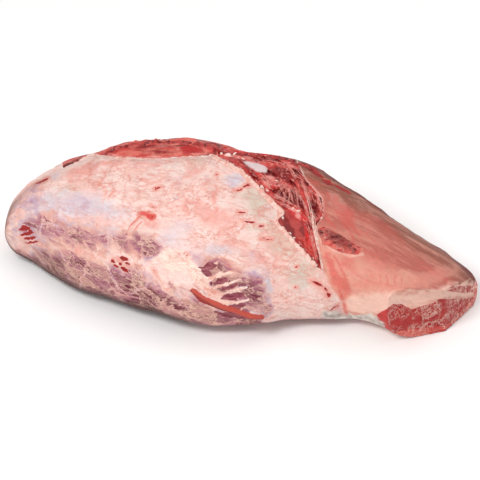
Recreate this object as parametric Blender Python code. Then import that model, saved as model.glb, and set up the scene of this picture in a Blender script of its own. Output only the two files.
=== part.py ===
"""Beef shoulder clod: one whole boneless cut, lying on its flat side with the membrane side up.

Metres, +Z up. +X runs along the cut from its blunt round tip to its sawn end, and -Y is the
near side. The origin is on the face that it rests on.
"""

import math

import bmesh
import bpy
import numpy as np
from mathutils import Vector, noise

# Overall size
TIP_X = -0.281
UNSAWN_X = 0.294  # how far the muscle reached before the saw
REST_SLICE = 0.004  # how much of the round belly is pressed flat on the table

# The broad face is laid out on a plane that leans back: (across, up), in metres, as it is seen
# from the near side and this far above the table.
FACE_TILT = math.radians(40.0)
FACE_UP = Vector((0.0, math.sin(FACE_TILT), math.cos(FACE_TILT)))
FACE_OUT = Vector((0.0, -math.cos(FACE_TILT), math.sin(FACE_TILT)))

# Stations every 15 degrees of a half turn from the tip to the sawn end. Equal angles set them
# close together at the two round ends.
FAR_RIM = (0.038, 0.075, 0.103, 0.127, 0.144, 0.1495, 0.1345, 0.119, 0.0745, 0.035, 0.003, -0.032, -0.046)
NEAR_RIM = (0.038, 0.017, 0.000, -0.026, -0.0435, -0.0635, -0.069, -0.061, -0.0645, -0.097, -0.096, -0.080, -0.046)
CREST = (0.040, 0.070, 0.093, 0.110, 0.121, 0.126, 0.123, 0.114, 0.097, 0.075, 0.054, 0.035, 0.016)
BELLY = (0.040, 0.014, 0.002, 0.000, 0.000, 0.000, 0.000, 0.000, 0.000, 0.000, 0.000, 0.002, 0.016)
NEAR_SQUARENESS = (2.0, 2.1, 2.2, 2.2, 2.2, 2.2, 2.3, 2.4, 2.8, 3.6, 4.0, 3.6, 2.6)
TOP_SLOPE = (0.00, 0.03, 0.06, 0.08, 0.09, 0.09, 0.10, 0.12, 0.16, 0.22, 0.20, 0.10, 0.00)
WIDEST_AT = (0.36, 0.36, 0.36, 0.36, 0.36, 0.36, 0.36, 0.36, 0.56, 0.70, 0.60, 0.48, 0.40)  # of the height
FAR_SQUARENESS = 2.5
UNDERSIDE_SQUARENESS = 2.9

# The saw's cuts at the thick end, with a point on each and the way it faces: the broad cut, and
# the short one that takes its corner off
SAW_CUTS = (
    (Vector((0.187, -0.1378, 0.0)), Vector((0.31, -0.95, 0.02)).normalized()),
    (Vector((0.238, -0.1215, 0.0)), Vector((0.79, -0.61, 0.05)).normalized()),
)

# Lines on the broad face
MEMBRANE_FAR_EDGE = (
    (-0.229, 0.099), (-0.193, 0.123), (-0.162, 0.131), (-0.120, 0.126), (-0.073, 0.128), (-0.034, 0.130),
)
MEMBRANE_TORN_EDGE = (
    (-0.034, 0.130), (-0.002, 0.113), (0.023, 0.089), (0.049, 0.061), (0.041, 0.052),
    (0.053, 0.038), (0.064, 0.026), (0.077, 0.011), (0.087, -0.001),
)
LOBE_EDGE = (
    (0.094, -0.006), (0.091, 0.012), (0.088, 0.030), (0.086, 0.045), (0.096, 0.060), (0.093, 0.082),
    (0.083, 0.099), (0.061, 0.118), (0.024, 0.129), (-0.020, 0.140),
)
TENDON = ((0.074, 0.092), (0.083, 0.059), (0.087, 0.027), (0.094, -0.006))
LOBE_SEAM = ((0.094, -0.006), (0.100, -0.022), (0.115, -0.047), (0.122, -0.066))
MARBLED_PATCH = (
    (0.089, 0.044), (0.097, 0.046), (0.120, 0.032), (0.139, 0.020), (0.136, 0.013),
    (0.116, 0.015), (0.095, 0.025),
)
LOWER_MUSCLE_EDGE = ((-0.086, -0.018), (-0.058, -0.028), (-0.029, -0.045), (0.006, -0.058), (0.030, -0.060))

# Sizes of the relief
MEMBRANE_THICK = 0.0016
VALLEY_DEEP = 0.0085
VALLEY_BANK = 0.013
FAR_MUSCLE_PROUD = 0.0035
PATCH_DEEP = 0.0028
TENDON_PROUD = 0.0030
TENDON_HALF = 0.0035
SEAM_DEEP = 0.0055
SEAM_HALF = 0.010
LEDGE_DEEP = 0.0055
LEDGE_REACH = 0.030
WINDOW_DEEP = 0.0016
SAWN_LUMPS = 0.0016
SOFT_LUMPS = 0.0024
BACK_BUNDLES = 0.0042

# Windows where the membrane was nicked: centre, half length, half width, and turn in degrees
WINDOWS = (
    (-0.256, 0.040, 0.009, 0.0040, 8.0),
    (-0.249, 0.028, 0.009, 0.0022, 8.0),
    (-0.125, -0.017, 0.015, 0.0085, -25.0),
    (-0.039, -0.010, 0.010, 0.0060, -20.0),
    (-0.024, -0.019, 0.009, 0.0042, 5.0),
    (-0.012, -0.025, 0.009, 0.0035, 15.0),
    (-0.010, -0.035, 0.014, 0.0050, 15.0),
    (-0.005, -0.047, 0.008, 0.0050, -15.0),
)

# Density of the modelled skin, and of the finished solid
RINGS = 220
SPOKES = 236
TRIANGLES = 10600


def clear_scene():
    for obj in list(bpy.data.objects):
        bpy.data.objects.remove(obj)


def new_collection(name):
    collection = bpy.data.collections.new(name)
    bpy.context.scene.collection.children.link(collection)
    return collection


def at_station(values, angle):
    """A smooth curve through one row of station values, read at an angle from 0 to pi."""
    place = min(max(angle / math.pi, 0.0), 1.0) * (len(values) - 1)
    i = min(int(place), len(values) - 2)
    t = place - i
    before = values[i - 1] if i > 0 else 2 * values[0] - values[1]
    after = values[i + 2] if i + 2 < len(values) else 2 * values[-1] - values[-2]
    a, b = values[i], values[i + 1]
    return 0.5 * (
        2 * a + (b - before) * t + (2 * before - 5 * a + 4 * b - after) * t**2 + (3 * a - before - 3 * b + after) * t**3
    )


def power(value, squareness):
    """One coordinate of a superellipse, from the sine or cosine of its angle."""
    return math.copysign(abs(value) ** (2.0 / squareness), value)


def section_point(angle, turn, half_width):
    """(y, z) on the section at a station angle. Turn 0 is the far side and 90 degrees the top."""
    crest, belly = at_station(CREST, angle), at_station(BELLY, angle)
    widest = belly + at_station(WIDEST_AT, angle) * (crest - belly)
    near, upper = math.cos(turn) < 0, math.sin(turn) > 0
    side = at_station(NEAR_SQUARENESS, angle) if near else FAR_SQUARENESS
    squareness = side if upper else UNDERSIDE_SQUARENESS
    across = power(math.cos(turn), squareness)
    rise = power(math.sin(turn), squareness)
    height = crest - widest if upper else widest - belly
    slope = 1.0 + at_station(TOP_SLOPE, angle) * across * max(rise, 0.0)
    return half_width * across, widest + height * rise * slope


def face_up(y, z):
    return y * FACE_UP.y + z * FACE_UP.z


def section_reach(angle, half_width):
    """Lowest and highest place of the section on the leaning face."""
    ups = []
    for step in range(48):
        ups.append(face_up(*section_point(angle, 2 * math.pi * step / 48, half_width)))
    return min(ups), max(ups)


def fitted_section(angle):
    """(centre y, half width) that puts the section's rims where the stations say."""
    near_rim, far_rim = at_station(NEAR_RIM, angle), at_station(FAR_RIM, angle)
    low, high = 0.0, (UNSAWN_X - TIP_X) / 2
    for _ in range(26):
        half_width = (low + high) / 2
        bottom, top = section_reach(angle, half_width)
        if top - bottom < far_rim - near_rim:
            low = half_width
        else:
            high = half_width
    return (far_rim - top) / FACE_UP.y, half_width


def smoothstep(low, high, x):
    t = np.clip((x - low) / (high - low), 0.0, 1.0)
    return t * t * (3.0 - 2.0 * t)


def mound(distance, half):
    return np.exp(-((distance / half) ** 2))


def to_line(across, up, points):
    """Signed distance to an open line, positive on its left, and how far along it as 0 to 1."""
    p = np.array(points)
    lengths = np.hypot(*(p[1:] - p[:-1]).T)
    starts = np.concatenate([[0.0], np.cumsum(lengths)])
    best = np.full(across.shape, 1e9)
    side, share = np.ones(across.shape), np.zeros(across.shape)
    for i, (start, end) in enumerate(zip(p[:-1], p[1:])):
        dx, dy = end - start
        t = np.clip(((across - start[0]) * dx + (up - start[1]) * dy) / lengths[i] ** 2, 0.0, 1.0)
        gap = np.hypot(across - start[0] - t * dx, up - start[1] - t * dy)
        turn = dx * (up - start[1]) - dy * (across - start[0])
        nearer = gap < best
        best = np.where(nearer, gap, best)
        side = np.where(nearer, np.sign(turn), side)
        share = np.where(nearer, (starts[i] + t * lengths[i]) / starts[-1], share)
    return best * side, share


def inside(across, up, points):
    """Distance to the edge of a closed outline, positive within it."""
    gap, _ = to_line(across, up, (*points, points[0]))
    crossings = np.zeros(across.shape, int)
    for (x0, y0), (x1, y1) in zip(points, (*points[1:], points[0])):
        if y0 == y1:
            continue
        spans = (up < y0) != (up < y1)
        crossings += spans & (across < x0 + (up - y0) * (x1 - x0) / (y1 - y0))
    return np.where(crossings % 2 == 1, np.abs(gap), -np.abs(gap))


def fractal(points, size, stretch=(1.0, 1.0, 1.0), octaves=3, seed=0.0):
    """Smooth noise from about -1 to 1, whose lumps measure size times stretch."""
    scale = Vector((1 / (size * stretch[0]), 1 / (size * stretch[1]), 1 / (size * stretch[2])))
    shift = Vector((seed, seed * 0.7, -seed * 1.3))
    return np.array([noise.fractal(Vector(p) * scale + shift, 1.0, 2.0, octaves) for p in points])


def window_dents(across, up):
    dents = np.zeros(across.shape)
    for x, y, half_length, half_width, turn in WINDOWS:
        c, s = math.cos(math.radians(turn)), math.sin(math.radians(turn))
        along = ((across - x) * c + (up - y) * s) / half_length
        over = ((up - y) * c - (across - x) * s) / half_width
        dents -= WINDOW_DEEP * (1.0 - smoothstep(0.75, 1.15, np.hypot(along, over)))
    return dents


def face_relief(points, across, up):
    """Height of the face's relief above the plain round body."""
    lumps = fractal(points, 0.012, octaves=3, seed=4.0)
    strings = fractal(points, 0.011, stretch=(3.0, 1.0, 1.0), seed=9.0)

    valley = inside(across, up, MEMBRANE_TORN_EDGE + LOBE_EDGE)
    floor = -VALLEY_DEEP * smoothstep(0.0, VALLEY_BANK, valley) + 0.0026 * lumps * smoothstep(0.0, 0.006, valley)
    torn, _ = to_line(across, up, MEMBRANE_TORN_EDGE)
    lip = MEMBRANE_THICK * mound(torn - 0.004, 0.004) * (valley < 0)
    drop = -MEMBRANE_THICK * smoothstep(-0.0005, 0.002, valley)

    beyond, share = to_line(across, up, MEMBRANE_FAR_EDGE)
    slab = smoothstep(0.0, 0.006, beyond) * smoothstep(0.02, 0.3, share) * (valley < 0.004)
    far_muscle = slab * (FAR_MUSCLE_PROUD + 0.0028 * strings) - 0.0022 * mound(beyond, 0.0035) * (valley < 0)

    tendon, share = to_line(across, up, TENDON)
    ridge = TENDON_PROUD * mound(tendon, TENDON_HALF) * smoothstep(0.0, 0.25, share)
    seam, _ = to_line(across, up, TENDON + LOBE_SEAM[1:])
    fold = -SEAM_DEEP * mound(seam, SEAM_HALF)

    patch = inside(across, up, MARBLED_PATCH)
    cut = smoothstep(0.0, 0.0025, patch) * (0.0022 * lumps - PATCH_DEEP)

    ledge, share = to_line(across, up, LOWER_MUSCLE_EDGE)
    held = smoothstep(0.0, 0.2, share) * (1.0 - smoothstep(0.93, 1.0, share))
    below = smoothstep(0.0, 0.005, -ledge) * (1.0 - smoothstep(0.35, 1.0, -ledge / LEDGE_REACH))
    step = LEDGE_DEEP * held * (0.35 * mound(ledge - 0.003, 0.005) - below)

    return floor + lip + drop + far_muscle + ridge + fold + cut + step + window_dents(across, up)


def relief(points, normals):
    """Height of the relief over the whole body, in metres along the body's own normals."""
    across, up = points[:, 0], points @ np.array(FACE_UP)
    seen = smoothstep(0.02, 0.30, normals @ np.array(FACE_OUT))
    soft = SOFT_LUMPS * fractal(points, 0.055, octaves=2, seed=1.0)
    bundles = fractal(points, 0.026, stretch=(2.6, 1.0, 1.0), octaves=2, seed=6.0)
    seams = -np.abs(fractal(points, 0.045, stretch=(2.2, 1.0, 1.0), octaves=1, seed=13.0))
    lifted = smoothstep(0.0, 0.02, points[:, 2])
    back = lifted * BACK_BUNDLES * (bundles + 0.5 * mound(seams, 0.12) * seams - 0.4 * mound(seams, 0.08))
    calm = smoothstep(0.0, 0.02, np.minimum(across - TIP_X, UNSAWN_X - across))
    return calm * (soft + seen * face_relief(points, across, up) + (1.0 - seen) * back)


def face_outwards(shape):
    bmesh.ops.recalc_face_normals(shape, faces=shape.faces)
    if shape.calc_volume(signed=True) < 0:
        bmesh.ops.reverse_faces(shape, faces=shape.faces)


def round_body(name):
    """A UV sphere drawn out along +X, with every ring set to its own section."""
    shape = bmesh.new()
    bmesh.ops.create_uvsphere(shape, u_segments=SPOKES, v_segments=RINGS, radius=1.0)
    sections = {}
    for vertex in shape.verts:
        angle = math.acos(max(-1.0, min(1.0, -vertex.co.z)))
        key = round(angle, 5)
        if key not in sections:
            sections[key] = fitted_section(angle)
        centre, half_width = sections[key]
        turn = math.atan2(vertex.co.y, vertex.co.x)
        y, z = section_point(angle, turn, half_width)
        along = (1.0 - math.cos(angle)) / 2
        vertex.co = (TIP_X + (UNSAWN_X - TIP_X) * along, centre + y, z)
    face_outwards(shape)
    mesh = bpy.data.meshes.new(name)
    shape.to_mesh(mesh)
    shape.free()
    return mesh


def raise_relief(mesh):
    points, normals = vertex_arrays(mesh)
    points += normals * relief(points, normals)[:, None]
    mesh.vertices.foreach_set("co", points.astype(np.float32).ravel())
    mesh.update()


def vertex_arrays(mesh):
    points = np.empty(len(mesh.vertices) * 3, np.float32)
    normals = np.empty(len(mesh.vertices) * 3, np.float32)
    mesh.vertices.foreach_get("co", points)
    mesh.vertices.foreach_get("normal", normals)
    return points.reshape(-1, 3).astype(float), normals.reshape(-1, 3).astype(float)


def saw_off(mesh):
    """Lays every point that is past a saw cut onto it, with the cut's slight lumps."""
    shape = bmesh.new()
    shape.from_mesh(mesh)
    for at, faces in SAW_CUTS:
        everything = [*shape.verts, *shape.edges, *shape.faces]
        bmesh.ops.bisect_plane(shape, geom=everything, plane_co=at, plane_no=faces, dist=1e-6)
        for vertex in shape.verts:
            past = (vertex.co - at).dot(faces)
            if past > 1e-5:
                flat = vertex.co - faces * past
                lump = SAWN_LUMPS * noise.fractal(flat / 0.014, 1.0, 2.0, 2) * min(1.0, past / 0.002)
                vertex.co = flat + faces * lump
    shape.to_mesh(mesh)
    shape.free()


def thinned(obj, triangles):
    """Replaces the mesh with one of about that many triangles, small where the form is sharp."""
    modifier = obj.modifiers.new("Thin", "DECIMATE")
    modifier.ratio = triangles / sum(len(face.vertices) - 2 for face in obj.data.polygons)
    graph = bpy.context.evaluated_depsgraph_get()
    mesh = bpy.data.meshes.new_from_object(obj.evaluated_get(graph))
    obj.modifiers.clear()
    obj.data = mesh


def rest_on_table(mesh):
    """Slices the belly flat and sets that flat face at z = 0."""
    shape = bmesh.new()
    shape.from_mesh(mesh)
    floor = min(vertex.co.z for vertex in shape.verts) + REST_SLICE
    everything = [*shape.verts, *shape.edges, *shape.faces]
    bmesh.ops.bisect_plane(
        shape, geom=everything, plane_co=(0, 0, floor), plane_no=(0, 0, -1), dist=1e-6, clear_outer=True
    )
    bmesh.ops.holes_fill(shape, edges=[edge for edge in shape.edges if edge.is_boundary])
    bmesh.ops.translate(shape, verts=shape.verts, vec=(0, 0, -floor))
    for vertex in shape.verts:
        if abs(vertex.co.z) < 1e-5:
            vertex.co.z = 0.0
    bmesh.ops.triangulate(shape, faces=shape.faces)
    face_outwards(shape)
    shape.to_mesh(mesh)
    shape.free()


def raw_beef():
    material = bpy.data.materials.new("raw_beef")
    material.use_nodes = True
    shader = material.node_tree.nodes["Principled BSDF"]
    shader.inputs["Base Color"].default_value = (0.72, 0.42, 0.37, 1.0)
    shader.inputs["Roughness"].default_value = 0.45
    shader.inputs["Metallic"].default_value = 0.0
    return material


def main():
    clear_scene()
    collection = new_collection("beef_shoulder_clod")
    mesh = round_body("shoulder_clod")
    raise_relief(mesh)
    saw_off(mesh)
    clod = bpy.data.objects.new("shoulder_clod", mesh)
    collection.objects.link(clod)
    thinned(clod, TRIANGLES)
    rest_on_table(clod.data)
    clod.data.materials.append(raw_beef())
    clod.data.shade_smooth()
    clod.data.set_sharp_from_angle(angle=math.radians(40.0))


main()
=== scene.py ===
import math

import bmesh
import bpy
import numpy as np
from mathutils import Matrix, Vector, bvhtree, noise


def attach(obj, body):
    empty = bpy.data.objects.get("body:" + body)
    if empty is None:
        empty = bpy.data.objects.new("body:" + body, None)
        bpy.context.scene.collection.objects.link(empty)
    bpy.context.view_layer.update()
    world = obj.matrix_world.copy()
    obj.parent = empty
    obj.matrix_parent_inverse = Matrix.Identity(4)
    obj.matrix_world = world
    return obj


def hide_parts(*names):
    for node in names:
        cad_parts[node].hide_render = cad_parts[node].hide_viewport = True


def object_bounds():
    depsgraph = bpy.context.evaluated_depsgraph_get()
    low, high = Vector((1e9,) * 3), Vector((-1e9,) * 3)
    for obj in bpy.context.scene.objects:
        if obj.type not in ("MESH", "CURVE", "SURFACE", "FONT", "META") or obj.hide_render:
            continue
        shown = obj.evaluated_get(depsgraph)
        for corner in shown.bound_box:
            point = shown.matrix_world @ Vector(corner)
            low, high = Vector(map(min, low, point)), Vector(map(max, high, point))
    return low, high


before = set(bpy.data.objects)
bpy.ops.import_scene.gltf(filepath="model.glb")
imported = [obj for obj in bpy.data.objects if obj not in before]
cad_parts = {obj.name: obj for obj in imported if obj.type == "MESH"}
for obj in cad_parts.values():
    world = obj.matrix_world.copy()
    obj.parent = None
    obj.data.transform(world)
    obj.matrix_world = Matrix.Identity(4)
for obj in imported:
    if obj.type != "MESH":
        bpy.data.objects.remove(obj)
cad_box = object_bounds()

# The plain body of the cut: one group of shoulder muscles, boned out and laid on its flat side.
# It is a rounded loaf of meat whose sections follow one another from the blunt tip to the saw's
# cut. Every form below is raised or sunk on this body, as the butcher's knife left it.
TIP_X = -0.281
UNSAWN_X = 0.294
FAR_RIM = (
    0.038, 0.075, 0.103, 0.127, 0.144, 0.1495, 0.1345, 0.119, 0.0745, 0.035, 0.003, -0.032, -0.046,
)
NEAR_RIM = (
    0.038, 0.017, 0.000, -0.026, -0.0435, -0.0635, -0.069, -0.061, -0.0645, -0.097, -0.096, -0.080, -0.046,
)
CREST = (0.040, 0.070, 0.093, 0.110, 0.121, 0.126, 0.123, 0.114, 0.097, 0.075, 0.054, 0.035, 0.016)
BELLY = (0.040, 0.014, 0.002, 0.000, 0.000, 0.000, 0.000, 0.000, 0.000, 0.000, 0.000, 0.002, 0.016)
NEAR_SQUARENESS = (2.0, 2.1, 2.2, 2.2, 2.2, 2.2, 2.3, 2.4, 2.8, 3.6, 4.0, 3.6, 2.6)
TOP_SLOPE = (0.00, 0.03, 0.06, 0.08, 0.09, 0.09, 0.10, 0.12, 0.16, 0.22, 0.20, 0.10, 0.00)
WIDEST_AT = (0.36, 0.36, 0.36, 0.36, 0.36, 0.36, 0.36, 0.36, 0.56, 0.70, 0.60, 0.48, 0.40)
FAR_SQUARENESS = 2.5
UNDERSIDE_SQUARENESS = 2.9
RINGS = 404
SPOKES = 242
HIDDEN_DENSITY = 0.30  # of spokes on the underside and far side, against the side that shows
VALLEY_X = 0.045
VALLEY_HALF = 0.075
VALLEY_DENSITY = 0.45

# The broad face is laid out on a plane that leans back, so its lines are (across, up) on it.
FACE_TILT = math.radians(40.0)
FACE_UP = np.array((0.0, math.sin(FACE_TILT), math.cos(FACE_TILT)))
FACE_OUT = np.array((0.0, -math.cos(FACE_TILT), math.sin(FACE_TILT)))


def smoothstep(low, high, x):
    t = np.clip((x - low) / (high - low), 0.0, 1.0)
    return t * t * (3.0 - 2.0 * t)


def mound(distance, half):
    return np.exp(-((distance / half) ** 2))


def at_station(values, angle):
    """A smooth curve through one row of station values, read at angles from 0 to pi."""
    place = np.clip(angle / math.pi, 0.0, 1.0) * (len(values) - 1)
    i = np.minimum(place.astype(int), len(values) - 2)
    t = place - i
    row = np.array((2 * values[0] - values[1], *values, 2 * values[-1] - values[-2]))
    before, a, b, after = row[i], row[i + 1], row[i + 2], row[i + 3]
    bend = (2 * before - 5 * a + 4 * b - after) * t**2
    return 0.5 * (2 * a + (b - before) * t + bend + (3 * a - before - 3 * b + after) * t**3)


def section_point(angle, turn, half_width):
    """(y, z) on the section at a station angle. Turn 0 is the far side and a quarter turn the top."""
    crest, belly = at_station(CREST, angle), at_station(BELLY, angle)
    widest = belly + at_station(WIDEST_AT, angle) * (crest - belly)
    side = np.where(np.cos(turn) < 0, at_station(NEAR_SQUARENESS, angle), FAR_SQUARENESS)
    squareness = np.where(np.sin(turn) > 0, side, UNDERSIDE_SQUARENESS)
    across = np.sign(np.cos(turn)) * np.abs(np.cos(turn)) ** (2.0 / squareness)
    rise = np.sign(np.sin(turn)) * np.abs(np.sin(turn)) ** (2.0 / squareness)
    height = np.where(np.sin(turn) > 0, crest - widest, widest - belly)
    slope = 1.0 + at_station(TOP_SLOPE, angle) * across * np.maximum(rise, 0.0)
    return half_width * across, widest + height * rise * slope


def fitted_sections(angle):
    """(centre y, half width) that puts each section's rims where the stations say."""
    turns = np.arange(48) * 2 * math.pi / 48
    near_rim, far_rim = at_station(NEAR_RIM, angle), at_station(FAR_RIM, angle)
    low, high = np.zeros(angle.shape), np.full(angle.shape, (UNSAWN_X - TIP_X) / 2)
    for _ in range(26):
        half_width = (low + high) / 2
        y, z = section_point(angle[:, None], turns[None, :], half_width[:, None])
        ups = y * FACE_UP[1] + z * FACE_UP[2]
        narrow = ups.max(axis=1) - ups.min(axis=1) < far_rim - near_rim
        low, high = np.where(narrow, half_width, low), np.where(narrow, high, half_width)
    return (far_rim - ups.max(axis=1)) / FACE_UP[1], half_width


def ring_angles():
    """Station angles of the rings, closer together at the round ends and over the torn valley."""
    fine = np.linspace(0.0, math.pi, 3000)
    x = TIP_X + (UNSAWN_X - TIP_X) * (1.0 - np.cos(fine)) / 2
    weight = np.maximum(np.sin(fine), 0.30) * (1.0 + VALLEY_DENSITY * mound(x - VALLEY_X, VALLEY_HALF))
    share = np.concatenate([[0.0], np.cumsum((weight[1:] + weight[:-1]) / 2)])
    return np.interp(np.linspace(0.0, 1.0, RINGS + 1), share / share[-1], fine)


def ring_points(angle, centre, half_width):
    """(y, z) of one ring's spokes and their share of its girth, closer along the side that shows."""
    turns = np.linspace(-0.5 * math.pi, 1.5 * math.pi, 1441)
    y, z = section_point(np.full(turns.shape, angle), turns, half_width)
    dy, dz = np.diff(y), np.diff(z)
    run = np.hypot(dy, dz) + 1e-9
    facing = (dz * FACE_OUT[1] - dy * FACE_OUT[2]) / run
    density = HIDDEN_DENSITY + (1.0 - HIDDEN_DENSITY) * smoothstep(-0.45, -0.05, facing)
    share = np.concatenate([[0.0], np.cumsum(run * density)])
    even = np.arange(SPOKES) / SPOKES * share[-1]
    girth = np.concatenate([[0.0], np.cumsum(run)])
    around = np.interp(even, share, girth / girth[-1])
    return centre + np.interp(even, share, y), np.interp(even, share, z), around


def mesh_vectors(mesh, kind):
    """The places ("co") or normals ("normal") of a mesh's points."""
    vectors = np.empty(len(mesh.vertices) * 3, np.float32)
    mesh.vertices.foreach_get(kind, vectors)
    return vectors.reshape(-1, 3).astype(float)


def set_points(mesh, points):
    mesh.vertices.foreach_set("co", points.astype(np.float32).ravel())
    mesh.update()


def face_outwards(shape):
    bmesh.ops.recalc_face_normals(shape, faces=shape.faces)
    if shape.calc_volume(signed=True) < 0:
        bmesh.ops.reverse_faces(shape, faces=shape.faces)


shape = bmesh.new()
bmesh.ops.create_uvsphere(shape, u_segments=SPOKES, v_segments=RINGS, radius=1.0)
flesh = bpy.data.meshes.new("clod_flesh")
shape.to_mesh(flesh)
shape.free()
ball = mesh_vectors(flesh, "co")
ring = np.rint(np.arccos(np.clip(-ball[:, 2], -1.0, 1.0)) / math.pi * RINGS).astype(int)
spoke = np.rint(np.arctan2(ball[:, 1], ball[:, 0]) / (2 * math.pi) * SPOKES).astype(int) % SPOKES
angles = ring_angles()
centres, half_widths = fitted_sections(angles)
ring_y = np.zeros((RINGS + 1, SPOKES))
ring_z = np.zeros((RINGS + 1, SPOKES))
ring_share = np.zeros((RINGS + 1, SPOKES))
for i in range(RINGS + 1):
    ring_y[i], ring_z[i], ring_share[i] = ring_points(angles[i], centres[i], half_widths[i])
along = TIP_X + (UNSAWN_X - TIP_X) * (1.0 - np.cos(angles)) / 2
set_points(flesh, np.column_stack([along[ring], ring_y[ring, spoke], ring_z[ring, spoke]]))
shape = bmesh.new()
shape.from_mesh(flesh)
face_outwards(shape)
shape.to_mesh(flesh)
shape.free()

# The lines on the broad face, in millimetres across and up it: where the pale membrane stops,
# where it tore, the second lobe, the tendon between them, the patch sliced off the lobe and the
# lower muscle's edge. They steer the relief and the finish alike.
MEMBRANE_FAR_EDGE = (
    (-212, 116), (-193, 127), (-177, 132), (-167, 133), (-160, 130), (-141, 127), (-99, 126), (-54, 129),
    (-34, 131),
)
TORN_EDGE = ((-34, 130), (-2, 113), (23, 89), (49, 61), (41, 52), (53, 38), (64, 26), (77, 11), (87, -1))
LOBE_EDGE = (
    (94, -6), (91, 12), (88, 30), (86, 45), (96, 60), (94, 80), (83, 95), (73, 107), (67, 118), (64, 130),
    (60, 146), (-20, 156),
)
TENDON = ((74, 92), (83, 59), (87, 27), (94, -6))
LOBE_SEAM = ((94, -6), (100, -22), (115, -47), (122, -66))
LOBE = (
    (122, -66), (115, -47), (100, -22), (94, -6), (91, 12), (88, 30), (86, 45), (96, 60), (94, 80),
    (83, 95), (73, 107), (67, 118), (64, 130), (60, 146), (60, 220), (420, 220), (420, -220), (160, -220),
)
MARBLED_PATCH = ((89, 44), (97, 46), (120, 32), (139, 20), (136, 13), (116, 15), (95, 25))
LOWER_MUSCLE_EDGE = ((-86, -18), (-58, -28), (-29, -45), (6, -58), (30, -60))
CUT_STRIP = ((-59, -26), (-46, -40), (-31, -46), (-16, -51), (8, -58), (27, -60))
SMOOTH_MUSCLE = ((41, 63), (57, 63), (69, 53), (75, 41), (73, 32), (58, 34), (48, 43), (41, 52))
SILVER_OVAL = (
    (3, 122), (10, 123.5), (19, 122), (27, 118), (31, 113), (29, 109), (22, 109.5), (15, 112), (8, 117),
)
FAT_SHELF = (
    (118, -42), (136, -35), (164, -34), (190, -32), (211, -30), (240, -24), (277, -20), (285, -38),
    (230, -37), (206, -46), (190, -46), (174, -43), (157, -55), (140, -52), (122, -49),
)
RED_SLIVER = ((238, -30), (250, -24), (268, -24), (279, -27), (279, -33), (255, -32))
CREST_LINE = ((69, 126), (116, 97), (159, 70), (201, 41), (244, 13), (275, -21))
RED_CUT = (
    (157, -57), (165, -52), (174, -45), (184, -45), (190, -48), (197, -51), (206, -48), (218, -45),
    (230, -39), (253, -39), (272, -38), (290, -37), (292, -56), (264, -75), (252, -85), (238, -99),
    (187, -108), (170, -99), (160, -80), (153, -66),
)

# Nicks through the membrane: both ends of each and its half width, in millimetres
NICKS = (
    (-244, 96, -229, 103, 1.5), (-264, 43, -251, 44, 3.0), (-262, 35, -246, 38, 2.7),
    (-253, 42, -246, 37, 2.2), (-258, 30, -241, 32, 1.5), (-256, 25, -239, 28, 1.5),
    (-153, 7, -147, 3, 2.1), (-149, 1, -143, -2, 1.4), (-141, 9, -130, 6, 2.6), (-143, 3, -137, 0, 1.8),
    (-140, -2, -131, -8, 2.6), (-134, 3, -129, 1, 1.5), (-102, -5, -99, -9, 0.8), (-102, 89, -94, 92, 1.1),
    (-106, 70, -101, 67, 0.8), (-107, 57, -102, 57, 1.3), (-9, 89, 2, 91, 0.8), (1, 92, 12, 96, 1.2),
    (-29, 107, -28, 106, 1.2), (-4, 63, 5, 63, 1.1), (2, 52, 18, 50, 1.3), (19, 46, 28, 47, 0.9),
    (22, 31, 35, 31, 0.9), (61, -1, 66, -2, 0.8), (61, -25, 64, -25, 0.7), (-69, 13, -66, 15, 0.7),
    (-64, 11, -61, 14, 0.6), (80, -17, 94, -25, 1.5), (95, -25, 100, -31, 1.2), (100, -33, 102, -38, 1.9),
    (101, -53, 114, -50, 1.1), (70, 121, 96, 104, 2.6), (95, 102, 109, 95, 2.4), (109, 95, 128, 85, 1.9),
    (242, -27, 253, -29, 1.4),
)

# Slashes into the dark muscle under the white fat, in the same way
SLASHES = (
    (-48, -2, -29, 0, 4.2), (-45, -6, -33, -12, 3.6), (-33, -19, -15, -15, 4.0), (-24, -27, -3, -22, 3.2),
    (-24, -38, 3, -33, 4.6), (-15, -48, 6, -46, 3.4), (0, -52, 14, -52, 1.8), (-32, -58, 16, -67, 4.2),
)

# Holes between the cords of the torn valley, in the same way, the cave among them and the folds
# that stand beside them
HOLLOWS = (
    (48, 70, 55, 65, 2.0), (60, 115, 69, 107, 2.0), (38, 127, 47, 122, 1.6), (71, 101, 80, 91, 2.4),
    (7, 111, 24, 96, 1.3), (80, 86, 88, 60, 2.9), (89, 54, 92, 50, 2.0), (44, 90, 60, 74, 2.6),
    (62, 84, 69, 72, 2.2), (30, 112, 42, 104, 1.8), (56, 100, 66, 94, 1.6), (12, 131, 26, 124, 1.2),
)
CAVE = ((34, 89), (49, 92), (67, 91), (74, 79), (73, 67), (57, 70), (43, 77))
CAVE_WALLS = (((48, 92), (50, 72)), ((56, 93), (55, 68)), ((64, 93), (67, 66)), ((38, 84), (49, 78)))
VALLEY_FOLDS = (
    ((48, 122), (60, 110), (68, 96), (74, 79), (77, 63), (80, 46)),
    ((62, 112), (74, 99), (81, 92), (91, 78), (94, 62), (90, 48)),
    ((38, 96), (52, 84), (64, 70), (74, 60)),
)

# Seams of fat between the muscles of the back: where each starts and ends along the cut, its share
# of the girth there, counted from under the cut up the far side, and its wave
BACK_SEAMS = (
    (-0.230, 0.130, 0.235, 0.285, 0.0), (-0.120, 0.255, 0.150, 0.200, 1.9), (0.010, 0.250, 0.330, 0.300, 4.1),
    (-0.260, -0.060, 0.130, 0.170, 2.7), (-0.170, 0.020, 0.345, 0.380, 5.2),
)


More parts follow.
